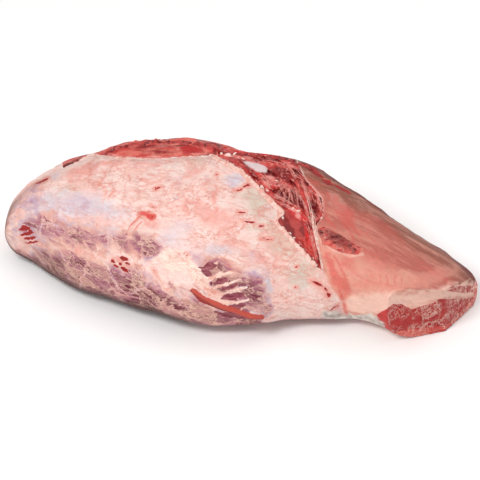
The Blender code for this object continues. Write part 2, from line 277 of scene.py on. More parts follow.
def to_line(across, up, points):
    """Signed distance to an open line, positive on its left, and how far along it as 0 to 1."""
    p = np.array(points, float)
    lengths = np.hypot(*(p[1:] - p[:-1]).T)
    starts = np.concatenate([[0.0], np.cumsum(lengths)])
    best = np.full(across.shape, 1e9)
    side, share = np.ones(across.shape), np.zeros(across.shape)
    for i, (start, end) in enumerate(zip(p[:-1], p[1:])):
        dx, dy = end - start
        t = np.clip(((across - start[0]) * dx + (up - start[1]) * dy) / lengths[i] ** 2, 0.0, 1.0)
        gap = np.hypot(across - start[0] - t * dx, up - start[1] - t * dy)
        turn = dx * (up - start[1]) - dy * (across - start[0])
        nearer = gap < best
        best = np.where(nearer, gap, best)
        side = np.where(nearer, np.sign(turn), side)
        share = np.where(nearer, (starts[i] + t * lengths[i]) / starts[-1], share)
    return best * side, share


def inside(across, up, points):
    """Distance to the edge of a closed outline, positive within it."""
    gap, _ = to_line(across, up, (*points, points[0]))
    crossings = np.zeros(across.shape, int)
    for (x0, y0), (x1, y1) in zip(points, (*points[1:], points[0])):
        if y0 == y1:
            continue
        spans = (up < y0) != (up < y1)
        crossings += spans & (across < x0 + (up - y0) * (x1 - x0) / (y1 - y0))
    return np.where(crossings % 2 == 1, np.abs(gap), -np.abs(gap))


def in_nicks(across, up, rows):
    """Distance to the edge of the nearest nick, positive within it."""
    best = np.full(across.shape, -1e3)
    for x0, y0, x1, y1, half_width in rows:
        gap, share = to_line(across, up, ((x0, y0), (x1, y1)))
        best = np.maximum(best, half_width * (1.0 - 0.8 * (2.0 * share - 1.0) ** 2) - np.abs(gap))
    return best


# The finish of the membrane side. Patches are soft ovals: centre, half length and half width in
# millimetres on the face, turn in degrees and strength. Each list is one thing that shows through
# the membrane or lies on it.
PALE_FILM = (
    (24, 71, 30, 16.5, -35, 0.9), (51, 30, 21, 26, -50, 0.9), (69, -8, 19, 21.3, -50, 0.8),
    (24, 47, 26, 9.5, 0, 0.7), (-205, 83, 24, 14.2, 20, 0.6), (16, -24, 24, 11.8, -10, 0.4),
    (-49, 124, 24, 5.9, 0, 0.5),
)
# Bluish film, with a painted sheen of the wet membrane laid in with it.
BLUE_FILM_AND_SHEEN = (
    (-186, 70, 44, 17, -8, 0.85), (-236, 66, 18, 20, 40, 0.6), (-140, 60, 26, 12, -10, 0.45),
    (-60, 22, 34, 12, -10, 0.35), (-184, 45, 8, 5.9, -10, 0.9), (-153, 43, 11, 5.9, 0, 0.7),
    (-249, 59, 9, 5.9, 20, 0.5), (-219, 106, 12, 4.7, 32, 0.6), (-214, 82, 19, 10.6, 0, 0.4),
    (-8, 100, 15, 8.3, 10, 0.85), (-43, 103, 7, 9.5, 0, 0.4), (-70, 44, 21, 11.8, 0, 0.5),
    (-27, 18, 20, 8.3, 5, 0.6), (1, 15, 14, 7.1, 0, 0.4), (32, -22, 5, 10.6, 0, 0.8),
    (-90, 30, 14, 11.8, 0, 0.5), (-219, 63, 12, 9.5, 0, 0.4), (75, -24, 14, 9.5, -40, 0.3),
    (-171, 77, 14, 16.5, 0, 0.25), (-4, -21, 10, 4, 20, 0.8), (5, -32, 12, 5, 20, 0.8),
    (10, -41, 14, 6, 10, 0.8),
)
BLUSH = (
    (-188, 112, 17, 7.1, 15, 0.9), (-158, 121, 26, 3.5, 0, 0.6), (-162, 91, 19, 2.8, 95, 0.8),
    (-153, 89, 15, 2.6, 84, 0.7), (-96, 121, 31, 3.5, 0, 0.5), (-49, 63, 26, 11.8, -10, 0.55),
    (-18, 51, 24, 13, -20, 0.5), (-61, 71, 12, 7.1, 0, 0.6), (-6, 24, 24, 8.3, -15, 0.45),
    (-112, 59, 11, 4.7, 0, 0.85), (-103, 47, 9, 5.9, -20, 0.8), (-226, 22, 14, 4.7, -12, 0.8),
    (-196, 17, 24, 5.9, -3, 0.9), (-166, 13, 18, 4.7, -5, 0.7), (-233, 34, 8, 5.9, 60, 0.6),
    (-153, 4, 14, 5.9, -20, 0.4), (-36, 90, 7, 10.6, 60, 0.7), (-31, 80, 12, 3.5, 95, 0.8),
    (-55, 110, 17, 4.7, 20, 0.5), (16, 8, 14, 10.6, 0, 0.4), (41, 4, 19, 9.5, -20, 0.4),
    (81, -41, 17, 3.5, -10, 0.5), (36, 82, 17, 5.9, -45, 0.5), (-102, 98, 17, 3.5, 15, 0.4),
    (-108, 21, 6, 10.6, 20, 0.5),
)
LILAC = (
    (-219, 46, 13, 7.1, -22, 0.8), (-204, 34, 18, 8.3, -12, 1), (-184, 35, 8, 5.3, -18, 1),
    (-207, 26, 13, 4.7, -8, 0.8), (-257, 51, 13, 5.9, 15, 0.6), (-246, 57, 8, 5.9, 30, 0.55),
    (-262, 64, 11, 5.9, 65, 0.45), (-255, 80, 12, 3.5, 58, 0.5), (-158, 33, 7, 4.7, 20, 0.9),
    (-146, 27, 11, 4.7, -15, 0.9), (-170, 32, 5, 3, 45, 0.6), (-116, 32, 9, 7.1, 0, 0.6),
    (-108, 22, 11, 7.1, -30, 0.85), (-96, 15, 7, 5.9, 20, 1), (-205, -8, 17, 9.5, -33, 0.85),
    (-214, -12, 17, 4.7, -33, 0.6), (-174, -4, 7, 7.1, -60, 0.8), (-170, -15, 13, 8.3, -45, 0.9),
    (-153, -28, 15, 7.1, -22, 0.9), (-131, -13, 11, 5.9, -20, 1), (-115, -18, 8, 9.5, 0, 1),
    (-123, -26, 11, 5.3, -20, 1), (-121, -1, 5, 5.9, 0, 0.9), (-82, -26, 11, 2.6, -52, 1),
    (-92, -38, 8, 7.1, -40, 0.9), (-75, -43, 13, 4.7, -45, 0.85), (-61, -47, 8, 5.9, -30, 0.8),
    (-48, -54, 8, 5.9, 0, 0.8), (-61, -60, 14, 4.7, -12, 0.9), (-41, -59, 9, 4.7, 0, 0.7),
    (-18, -65, 17, 4.7, -3, 0.6), (-232, 4, 17, 4.7, -38, 0.5), (-185, -26, 19, 4.7, -25, 0.6),
    (-120, -45, 21, 4.7, -15, 0.6), (-23, -18, 17, 7.1, -35, 0.6), (-11, -37, 14, 9.5, -20, 0.6),
)

# Where the film is so thin that dark muscle shows through: the belly, a band along the middle of
# the blunt end, and round the slashes
THIN_FILM = (
    ((-274, 14), (-238, 15), (-203, 13), (-167, 8), (-146, 3), (-126, -6), (-108, -20), (-96, -30),
     (-79, -32), (-58, -38), (-43, -45), (-23, -53), (-8, -60), (20, -63), (24, -95), (-108, -95),
     (-214, -60), (-290, -30)),
    ((-262, 59), (-232, 62), (-214, 53), (-173, 44), (-150, 39), (-126, 39), (-108, 34), (-89, 18),
     (-96, 8), (-114, 15), (-138, 21), (-167, 21), (-197, 22), (-226, 25), (-250, 29), (-269, 34)),
    ((-57, 4), (-31, 4), (-14, -8), (14, -18), (30, -34), (30, -55), (-8, -51), (-25, -41), (-43, -24),
     (-55, -12)),
    ((-290, 59), (-268, 83), (-244, 95), (-232, 77), (-230, 51), (-250, 24), (-284, 20)),
)
THIN_STRENGTH = (1.0, 0.82, 1.0, 0.35)
WHITE_FAT = (
    (-72, 6, 26, 11, -32, 1), (-52, -12, 22, 10, -42, 1), (-31, -31, 19, 6.5, -40, 1),
    (-84, 0, 16, 8, -20, 0.8), (-96, 8, 12, 6, -10, 0.5), (-20, -22, 14, 2.2, 10, 0.9),
    (-26, -12, 15, 2.0, 14, 0.9), (-12, -30, 14, 2.0, 8, 0.9), (-34, -1, 13, 2.2, 20, 0.8),
    (-15, -44, 12, 3.5, -25, 0.8), (-42, 4, 14, 7.1, 0, 0.5), (132, -45, 14, 9.5, -20, 1),
    (159, -47, 24, 8.3, 0, 1), (187, -41, 21, 5.9, 0, 0.9), (223, -37, 19, 3.5, 5, 0.9),
    (253, -31, 21, 3.5, 8, 1), (264, -21, 9, 4.7, 25, 0.6), (99, 30, 6, 4.7, -30, 0.8),
    (-144, 4, 6, 3.5, 0, 0.6), (-18, 130, 5, 2.4, 0, 1), (24, 91, 5, 1.8, -45, 0.9),
    (66, 63, 4, 1.8, -45, 0.9), (-238, 4, 12, 4.7, -35, 0.5),
)
BLOOD = (
    (-128, -3, 5, 3.5, -30, 0.7), (-4, -67, 24, 4, -4, 0.5), (-105, 57, 6, 3.2, 0, 1),
    (-115, 60, 7, 3, 0, 0.5), (-131, -1, 3, 3, 0, 0.9), (-119, -39, 9, 4.7, 20, 0.4),
    (69, 71, 14, 4.7, -60, 0.5), (82, 60, 12, 3.5, -75, 0.5),
)
ROSE = (
    (122, 59, 17, 9.5, -50, 0.9), (110, 77, 14, 5.9, -55, 0.7), (131, 47, 19, 3.5, -60, 0.8),
    (164, 47, 35, 7.1, -35, 0.5), (105, -6, 24, 5.9, -75, 0.9), (122, 4, 14, 9.5, -60, 0.6),
    (116, -21, 17, 7.1, -60, 0.8), (158, 4, 31, 9.5, -25, 0.4), (146, -21, 26, 4.7, 0, 0.4),
    (187, -24, 26, 4.7, 5, 0.3), (217, -12, 24, 7.1, 15, 0.4),
)

# The torn valley: dark lumps, hollows darkened with painted shade, blood-red muscle freshly bared, and pink
# torn skin
RAW_DARK = (
    (114, 30, 24, 9, -32, 0.75), (30, 126, 20, 4, -8, 0.7), (60, 126, 14, 5, -30, 0.7),
    (74, 116, 14, 4, -38, 0.7), (44, 131, 18, 3, -10, 0.6), (50, 107, 22, 10, -20, 0.95),
    (30, 108, 12, 5, -35, 0.8), (72, 110, 10, 4, -35, 0.7), (14, 106, 12, 2.2, -40, 0.7),
    (50, 80, 14, 9, -10, 0.9), (66, 77, 10, 6, -70, 0.8), (86, 71, 19, 4.5, -78, 0.8),
    (91, 51, 3.5, 2, 60, 1.0), (69, 24, 12, 6, -60, 0.5), (24, 89, 8, 4, -30, 0.6),
    (20, 130, 10, 2.5, -10, 0.6), (5, 117, 24, 2.4, -42, 0.6), (-90, 134, 22, 4, 0, 0.5),
    (80, 6, 10, 5, -65, 0.6),
)
RAW_BRIGHT = (
    (63, 61, 12, 8, -35, 1.0), (76, 38, 17, 3.5, -78, 0.7), (69, 89, 12, 4, -70, 0.5),
    (40, 118, 12, 5, -10, 0.4), (60, 104, 8, 5, -20, 0.5), (-60, 140, 20, 6, 0, 0.5),
    (-130, 138, 14, 6, 10, 0.4),
)
RAW_PINK = (
    (45, 94, 22, 3.2, -18, 0.9), (57, 67, 14, 2.4, -30, 0.9), (75, 89, 19, 2.6, -66, 0.9),
    (-2, 128, 17, 3, -5, 0.9), (90, 77, 18, 2.2, -78, 0.8), (31, 103, 10, 3, -10, 0.7),
    (66, 58, 5, 3, -35, 0.8), (29, 95, 10, 2.2, -48, 0.8), (-100, 128, 34, 1.6, 0, 0.8),
    (-50, 131, 16, 1.5, 0, 0.6), (-150, 130, 12, 1.6, -8, 0.8), (60, 117, 16, 2.0, -30, 0.6),
    (83, 24, 20, 1.6, -80, 0.9), (47, 55, 6, 1.6, -50, 0.6),
)

# The second lobe: paler and greyer places, and the fine red veins on it
LOBE_LIGHT = (
    (100, 8, 30, 8, -76, 0.9), (96, 30, 8, 5, -70, 0.9), (170, -22, 52, 9, 3, 0.8),
    (118, -10, 26, 16, -45, 0.6), (150, 0, 34, 12, -20, 0.6), (190, -14, 34, 10, 5, 0.7),
    (135, -30, 30, 12, -10, 0.8), (235, -8, 26, 10, 12, 0.5), (95, 76, 12, 4, -60, 0.4),
)
LOBE_GREY = ((112, 74, 20, 8, -52, 0.9), (134, 48, 14, 5, -50, 0.5), (150, 62, 26, 5, -38, 0.4))
LOBE_VEINS = (
    (((160, -12), (162, -21)), 1.0, 0.6), (((167, -12), (169, -21)), 1.1, 0.7),
    (((177, -13), (178, -22)), 1.2, 0.8), (((185, -14), (186, -21)), 1.0, 0.6),
    (((194, -14), (196, -20)), 1.0, 0.4),
    (((101, 86), (108, 68), (118, 50), (128, 38), (131, 26)), 1.6, 0.8),
    (((110, 62), (124, 58), (137, 44), (150, 32), (166, 22)), 1.3, 0.6),
    (((100, 12), (104, -6), (112, -20), (117, -40), (122, -54)), 2.6, 0.9),
    (((108, 10), (118, -8), (124, -30)), 1.8, 0.8), (((96, 66), (101, 52), (108, 44)), 1.4, 0.9),
    (((120, 2), (136, -12), (150, -20), (180, -24)), 1.6, 0.5),
)
# Threads: the points of each line, its half width in millimetres and its strength
PINK_THREADS = (
    (((-108, 63), (-120, 56), (-131, 44), (-133, 30), (-128, 15)), 1.6, 0.9),
    (((-116, 51), (-125, 40), (-127, 26), (-121, 11)), 1.3, 0.8),
)
CREAM_RIDGES = (
    (((-112, 57), (-122, 50), (-129, 40), (-130, 28), (-125, 14)), 3.0, 0.6),
    (((-181, 3), (-186, -12), (-191, -29)), 1.7, 0.6),
    (((-161, 3), (-153, -8), (-146, -21), (-141, -32)), 1.0, 0.7),
    (((-146, -21), (-132, -33), (-120, -29), (-110, -26), (-108, -18), (-113, -8)), 1.0, 0.9),
    (((-193, 39), (-185, 29), (-171, 15)), 0.9, 0.8),
    (((-232, 47), (-217, 50), (-205, 41), (-190, 34)), 0.9, 0.8),
    (((-262, 77), (-268, 50), (-264, 24)), 0.9, 0.6), (((-250, 83), (-258, 61), (-259, 44)), 0.8, 0.6),
    (((-240, 83), (-232, 51), (-238, 30)), 0.9, 0.6), (((-129, 8), (-120, 3), (-113, -8)), 1.0, 0.8),
    (((-102, -3), (-94, -18), (-87, -29), (-74, -40)), 1.7, 0.8),
    (((-150, -26), (-138, -36), (-118, -40)), 2.2, 0.7), (((-222, 2), (-205, -10), (-196, -24)), 1.0, 0.5),
    (((-80, -38), (-62, -50), (-40, -58)), 1.3, 0.7), (((-126, -14), (-116, -18), (-108, -14)), 1.0, 0.7),
    (((-212, 12), (-200, -2), (-178, -10)), 0.9, 0.5),
)
FAT_FINGERS = (
    (((-47, -16), (-31, -12), (-12, -8)), 1.7, 1.0), (((-34, -25), (-18, -21), (-2, -17)), 1.6, 1.0),
    (((-30, -34), (-12, -30), (6, -25)), 1.7, 1.0), (((-22, -44), (-6, -42), (8, -39)), 1.5, 1.0),
)
FAT_THREADS = (
    (((-214, 108), (-185, 124), (-162, 129), (-138, 124), (-108, 126), (-73, 129)), 1.6, 0.8),
    (((88, 39), (92, 30), (105, 18), (122, 12), (140, 12)), 3.4, 0.50),
    (((205, -40), (223, -35), (252, -34), (279, -35)), 2.8, 0.75),
)

# The ragged grey rim below the fat, beside the waist
GREY_RIM = ((((98, -57), (118, -59), (134, -62), (150, -62), (162, -70)), 6.0, 1.0),)


def patches(across, up, rows):
    clear = np.ones(across.shape)
    for x, y, half_length, half_width, turn, strength in rows:
        c, s = math.cos(math.radians(turn)), math.sin(math.radians(turn))
        along = ((across - x) * c + (up - y) * s) / half_length
        over = ((up - y) * c - (across - x) * s) / half_width
        clear *= 1.0 - strength * np.exp(-((along**2 + over**2) ** 1.5))
    return 1.0 - clear


def threads(across, up, rows):
    best = np.zeros(across.shape)
    for points, half_width, strength in rows:
        gap, _ = to_line(across, up, points)
        best = np.maximum(best, strength * mound(gap, half_width))
    return best


def fractal(points, size, stretch=(1.0, 1.0, 1.0), octaves=3, seed=0.0, where=None):
    """Smooth noise from about -1 to 1, whose lumps measure size times stretch, and 0 elsewhere."""
    shift = np.array((seed, seed * 0.7, -seed * 1.3))
    scaled = points / (size * np.array(stretch)) + shift
    chosen = np.arange(len(points)) if where is None else np.flatnonzero(where)
    values = np.zeros(len(points))
    values[chosen] = [noise.fractal(p, 1.0, 2.0, octaves) for p in scaled[chosen]]
    return values


def bundle_creases(points, where, size, stretch, seed):
    """1 along the creases between bundles of muscle and 0 inside them, and a tone for each bundle."""
    creases, tones = np.zeros(len(points)), np.zeros(len(points))
    scaled = points / (size * np.array(stretch)) + seed
    for i in np.flatnonzero(where):
        distances, centres = noise.voronoi(scaled[i])
        creases[i] = distances[1] - distances[0]
        tones[i] = noise.cell(centres[0] * 7.3)
    return np.where(where, 1.0 - smoothstep(0.0, 0.34, creases), 0.0), tones


# Sizes of the relief, in metres
MEMBRANE_THICK = 0.0016
VALLEY_DEEP = 0.0075
VALLEY_BANK = 0.013
FAR_MUSCLE_PROUD = 0.0035
PATCH_DEEP = 0.0028
TENDON_PROUD = 0.0030
TENDON_HALF = 0.0035
SEAM_DEEP = 0.0055
SEAM_HALF = 0.010
LEDGE_DEEP = 0.0055
LEDGE_REACH = 0.030
SOFT_LUMPS = 0.0024
BACK_BUNDLES = 0.0040
NICK_DEEP = 0.0012
CREASE_DEEP = 0.0026
CORD_PROUD = 0.0019
FOLD_PROUD = 0.0034
HOLLOW_DEEP = 0.0056
CAVE_DEEP = 0.0055
TEAR_TURN = -58.0  # degrees, the way the torn valley's cords run on the face
CREST_TURN = -35.0  # degrees, the way the second lobe's crest runs
STRIP_PROUD = 0.0032
STRIP_GROOVE = 0.0012
STRIP_HALF = 5.6  # millimetres, and how much it narrows towards its right end
STRIP_TAPER = 1.2
SAWN_LUMPS = 0.0008
VALLEY_LUMPS = 0.0022
STRING_LUMPS = 0.0022
RIM_GROOVE = 0.0022
PATCH_LUMPS = 0.0010
PATCH_CREASES = 0.0004
FINGER_PROUD = 0.0008
CREAM_PROUD = 0.0007
BACK_LUMPS = 0.0016
BACK_CREASES = 0.0008
WANDER = 1.9  # millimetres that a cut line strays from its drawn place
BLOT_WANDER = 5.0  # and that a stain strays
NOT_HERE = -20.0  # a distance for a mark that doesn't reach this side
SEAM_FAR = 30.0  # millimetres beyond which a seam of fat isn't followed
SAW_CUTS = (
    (np.array((0.187, -0.1378, 0.0)), np.array((0.31, -0.95, 0.02))),
    (np.array((0.238, -0.1215, 0.0)), np.array((0.79, -0.61, 0.05))),
)

body = mesh_vectors(flesh, "co")
normals = mesh_vectors(flesh, "normal")
facing = normals @ FACE_OUT
seen = smoothstep(0.02, 0.30, facing)
on_face = facing > -0.05

# The knife never runs quite true, so every line is read at a place that wanders a little.
wander = np.column_stack([fractal(body, 0.022, seed=seed) for seed in (31.0, 47.0)])
across = body[:, 0] * 1000
up = body @ FACE_UP * 1000
across_w = across + WANDER * wander[:, 0]
up_w = up + WANDER * wander[:, 1]

frayed = 1.6 * fractal(body, 0.0065, octaves=2, seed=91.0, where=on_face)
valley = inside(across_w + frayed, up_w - frayed, TORN_EDGE + LOBE_EDGE)
torn, torn_share = to_line(across_w, up_w, TORN_EDGE)
beyond, beyond_share = to_line(across_w, up_w, MEMBRANE_FAR_EDGE)
tendon, tendon_share = to_line(across, up, TENDON)
seam, _ = to_line(across, up, TENDON + LOBE_SEAM[1:])
patch = inside(across_w, up_w, MARBLED_PATCH)
ledge, ledge_share = to_line(across_w, up_w, LOWER_MUSCLE_EDGE)
strip, strip_share = to_line(across, up, CUT_STRIP)
smooth_muscle = inside(across_w, up_w, SMOOTH_MUSCLE)
oval = inside(across_w, up_w, SILVER_OVAL)
across_s, up_s = across + 1.8 * wander[:, 0] + 1.6 * frayed, up + 1.8 * wander[:, 1] - 1.3 * frayed
slashes = in_nicks(across_s, up_s, SLASHES)
across_n, up_n = across + 1.2 * wander[:, 0] + 1.2 * frayed, up + 1.2 * wander[:, 1] - 0.9 * frayed
nicks = in_nicks(across_n, up_n, NICKS)
crest_line, _ = to_line(across, up, CREST_LINE)
lobe_depth = inside(across_w, up_w, LOBE)

slab_weight = smoothstep(0.0, 6.0, beyond) * smoothstep(0.02, 0.3, beyond_share) * (valley < 4.0)
lumps = fractal(body, 0.012, octaves=3, seed=4.0)
strings = fractal(body, 0.011, stretch=(3.0, 1.0, 1.0), seed=9.0)
in_valley = on_face & (valley > -2.0)


def laid_along(turn):
    """The body's places in metres, counted along lines that run at a turn on the face."""
    c, s = math.cos(math.radians(turn)), math.sin(math.radians(turn))
    return np.column_stack([across * c + up * s, up * c - across * s, body @ FACE_OUT * 1000]) / 1000


down_tear = laid_along(TEAR_TURN)
cords = 1.0 - 3.2 * np.abs(fractal(down_tear, 0.016, (2.6, 0.55, 1.0), 3, 17.0, in_valley))
meshed = 1.0 - 4.0 * np.abs(fractal(down_tear, 0.007, (1.3, 0.9, 1.0), 2, 27.0, in_valley))
cords = np.maximum(cords, 0.75 * meshed)
hollow = in_nicks(across + 0.8 * wander[:, 0], up + 0.8 * wander[:, 1], HOLLOWS)
in_slab = on_face & (beyond > -2.0) & (valley < 6.0)
in_patch = on_face & (patch > -2.0)
valley_creases, valley_tones = bundle_creases(down_tear, in_valley, 0.0100, (1.8, 0.8, 1.0), 3.3)
slab_creases, slab_tones = bundle_creases(body, in_slab, 0.0095, (3.2, 1.0, 0.8), 8.1)
patch_creases, patch_tones = bundle_creases(body, in_patch, 0.0042, (1.4, 1.0, 1.0), 5.9)
back_bundles, back_tones = bundle_creases(body, facing < 0.05, 0.016, (5.5, 1.0, 1.0), 1.7)

rough = smoothstep(0.0, 6.0, valley) * (1.0 - smoothstep(-2.0, 1.0, smooth_muscle))
rough *= 1.0 - smoothstep(-2.0, 1.0, oval)
floor = -VALLEY_DEEP * smoothstep(0.0, VALLEY_BANK * 1000, valley) + VALLEY_LUMPS * lumps * rough
floor += rough * (CORD_PROUD * np.clip(cords, -0.6, 1.0) - 0.4 * CREASE_DEEP * valley_creases)
floor -= HOLLOW_DEEP * smoothstep(-1.0, 1.5, hollow)
cave = smoothstep(-1.5, 2.0, inside(across_w, up_w, CAVE))
walls = np.zeros(len(body))
for line in CAVE_WALLS:
    gap, _ = to_line(across_w, up_w, line)
    walls = np.maximum(walls, mound(gap, 1.3))
floor -= cave * CAVE_DEEP * (1.0 - 0.8 * walls)
folds = np.zeros(len(body))
for line in VALLEY_FOLDS:
    gap, share = to_line(across_w, up_w, line)
    ends = smoothstep(0.0, 0.15, share) * (1.0 - smoothstep(0.85, 1.0, share))
    folds = np.maximum(folds, mound(gap, 2.6) * ends)
floor += FOLD_PROUD * folds
lip = MEMBRANE_THICK * mound(torn - 4.0, 4.0) * (valley < 0)
drop = -MEMBRANE_THICK * smoothstep(-0.5, 2.0, valley)
far_muscle = slab_weight * (FAR_MUSCLE_PROUD + STRING_LUMPS * strings - 0.6 * CREASE_DEEP * slab_creases)
far_muscle -= RIM_GROOVE * mound(beyond, 3.5) * (valley < 0)
ridge = TENDON_PROUD * mound(tendon, TENDON_HALF * 1000) * smoothstep(0.0, 0.25, tendon_share)
fold = -SEAM_DEEP * mound(seam, SEAM_HALF * 1000)
sliced = smoothstep(0.0, 2.0, patch) * (PATCH_LUMPS * lumps - PATCH_DEEP - PATCH_CREASES * patch_creases)
held = smoothstep(0.0, 0.2, ledge_share) * (1.0 - smoothstep(0.93, 1.0, ledge_share))
below = smoothstep(0.0, 5.0, -ledge) * (1.0 - smoothstep(0.35, 1.0, -ledge / (LEDGE_REACH * 1000)))
step = LEDGE_DEEP * held * (0.35 * mound(ledge - 3.0, 5.0) - below)
strip_ends = smoothstep(0.0, 0.06, strip_share) * (1.0 - smoothstep(0.96, 1.0, strip_share))
strip_half = STRIP_HALF - STRIP_TAPER * smoothstep(0.4, 1.0, strip_share)
strip_half *= np.sqrt(1.0 - (1.0 - np.clip(strip_share / 0.22, 0.02, 1.0)) ** 2)
strip_half *= np.sqrt(1.0 - (1.0 - np.clip((1.0 - strip_share) / 0.08, 0.02, 1.0)) ** 2)
band = STRIP_PROUD * mound(strip / strip_half, 1.0) - STRIP_GROOVE * mound(strip - strip_half - 1.2, 1.2)
band *= strip_ends
fingers = threads(across_w, up_w, FAT_FINGERS)
nicked = -NICK_DEEP * np.maximum(smoothstep(-0.3, 0.8, nicks), smoothstep(-0.3, 1.4, slashes))
face_relief = lip + drop + far_muscle + ridge + fold + step + band + nicked + FINGER_PROUD * fingers
sunk = floor + sliced

soft = SOFT_LUMPS * fractal(body, 0.055, octaves=2, seed=1.0)
bundles = fractal(body, 0.017, stretch=(5.0, 1.0, 1.0), octaves=3, seed=6.0)
lifted = smoothstep(0.0, 0.02, body[:, 2])
outlines = np.stack([ring_y, ring_z])
girth = np.hypot(*(np.roll(outlines, -1, axis=2) - outlines)).sum(axis=1)[ring]
back_seams = []
for start, end, share_start, share_end, wave in BACK_SEAMS:
    t = (body[:, 0] - start) / (end - start)
    middle = share_start + (share_end - share_start) * t + 0.012 * np.sin(7.0 * t + wave)
    gap = (ring_share[ring, spoke] - middle + 0.006 * wander[:, 0]) * girth
    past_end = np.maximum(np.maximum(-t, t - 1.0), 0.0) * (end - start)
    back_seams.append(1000 * np.where(gap < 0, -1.0, 1.0) * np.hypot(gap, past_end))
seam_gap = np.abs(back_seams).min(axis=0)
back_relief = lifted * (BACK_LUMPS * bundles + BACK_BUNDLES * (0.25 - mound(seam_gap, 9.0)))
back_relief -= BACK_CREASES * back_bundles * lifted
calm = smoothstep(0.0, 0.02, np.minimum(body[:, 0] - TIP_X, UNSAWN_X - body[:, 0]))
on_front = smoothstep(-0.02, 0.08, facing)
relief = calm * (soft + seen * face_relief + (1.0 - seen) * back_relief)
points = body + normals * relief[:, None] + FACE_OUT * (calm * seen * sunk)[:, None]

sawn = np.zeros(len(points))
for at, faces in SAW_CUTS:
    faces = faces / np.linalg.norm(faces)
    past = (points - at) @ faces
    hit = past > 0
    flat = points[hit] - past[hit, None] * faces
    lump = SAWN_LUMPS * fractal(flat, 0.006, octaves=3, seed=2.0) * smoothstep(0.0, 0.002, past[hit])
    points[hit] = flat + lump[:, None] * faces
    sawn = np.maximum(sawn, np.where(hit, past, 0.0))
sawn_across, sawn_up = points[:, 0] * 1000, points @ FACE_UP * 1000
sliver = inside(sawn_across + wander[:, 0], sawn_up + wander[:, 1], RED_SLIVER)
red_cut = inside(sawn_across + 1.2 * wander[:, 0], sawn_up + 1.2 * wander[:, 1], RED_CUT)

# Cream ridges of thicker membrane stand a little proud of the thin film.
blot = np.column_stack([fractal(body, 0.014, octaves=4, seed=seed) for seed in (61.0, 73.0)])
cream = threads(across + 3.2 * blot[:, 0], up + 3.2 * blot[:, 1], CREAM_RIDGES) * on_front
points += normals * (CREAM_PROUD * cream)[:, None] * (points[:, 2] > 0.01)[:, None]

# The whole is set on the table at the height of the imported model, and pressed flat there.
table_height = points[:, 2].max() - cad_box[1].z
points[:, 2] = np.maximum(points[:, 2] - table_height, 0.0)
set_points(flesh, points)
clod = bpy.data.objects.new("clod_flesh", flesh)
bpy.context.scene.collection.objects.link(clod)
flesh.shade_smooth()
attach(clod, "root")
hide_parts("shoulder_clod")

seen_across = points[:, 0] * 1000
seen_up = (points + np.array((0.0, 0.0, table_height))) @ FACE_UP * 1000
across_b = seen_across + BLOT_WANDER * blot[:, 0]
up_b = seen_up + BLOT_WANDER * blot[:, 1]
across_w = seen_across + WANDER * wander[:, 0]
up_w = seen_up + WANDER * wander[:, 1]

far_side = smoothstep(-0.2, 0.4, normals[:, 1])
straying = 0.13 * fractal(body, 0.05, octaves=3, seed=83.0) - 0.05
back_edge = (straying - facing) * 60.0 * far_side + (-0.42 + straying - facing) * 60.0 * (1.0 - far_side)
slab_edge = np.where((valley < 0) & (beyond_share > 0.001), beyond - 1.0, NOT_HERE)
cut_edge = np.where((sawn > 0) | ((facing > 0.0) & (across > 140)), red_cut, NOT_HERE)
strip_edge = np.where(strip_ends > 0.02, strip_half - np.abs(strip), NOT_HERE)
thin = 0.8 * patches(across_b, up_b, LILAC)
for outline, strength in zip(THIN_FILM, THIN_STRENGTH):
    thin = np.maximum(thin, strength * smoothstep(-15.0, 12.0, inside(across_b, up_b, outline)))
# Where the near side turns down under the body the film is made thinner, so darker and more purple: partly a
# thinner film there, partly painted shade along the underside.
turned_under_shade = smoothstep(0.34, 0.02, facing) * (1.0 - far_side)
thin = np.maximum(thin, 0.9 * turned_under_shade)
far_along = angles[ring] * 0.18
crestwise = laid_along(CREST_TURN)
lays = []
for twist in (-6.5, 2.4):
    turned = 2 * math.pi * ring_share[ring, spoke] + twist * far_along
    lays.append(np.column_stack([far_along, 0.1 * np.cos(turned), 0.1 * np.sin(turned)]))
thin = thin * (1.0 - 0.85 * cream) - 0.7 * smoothstep(-1.5, 2.5, lobe_depth)
bare_front = np.maximum.reduce([valley, slab_edge, patch, nicks, strip_edge, sliver])
bare = np.maximum.reduce([np.where(facing > 0.0, bare_front, NOT_HERE), back_edge, cut_edge])
lobe = smoothstep(-1.5, 2.5, lobe_depth) * (facing > 0.0)

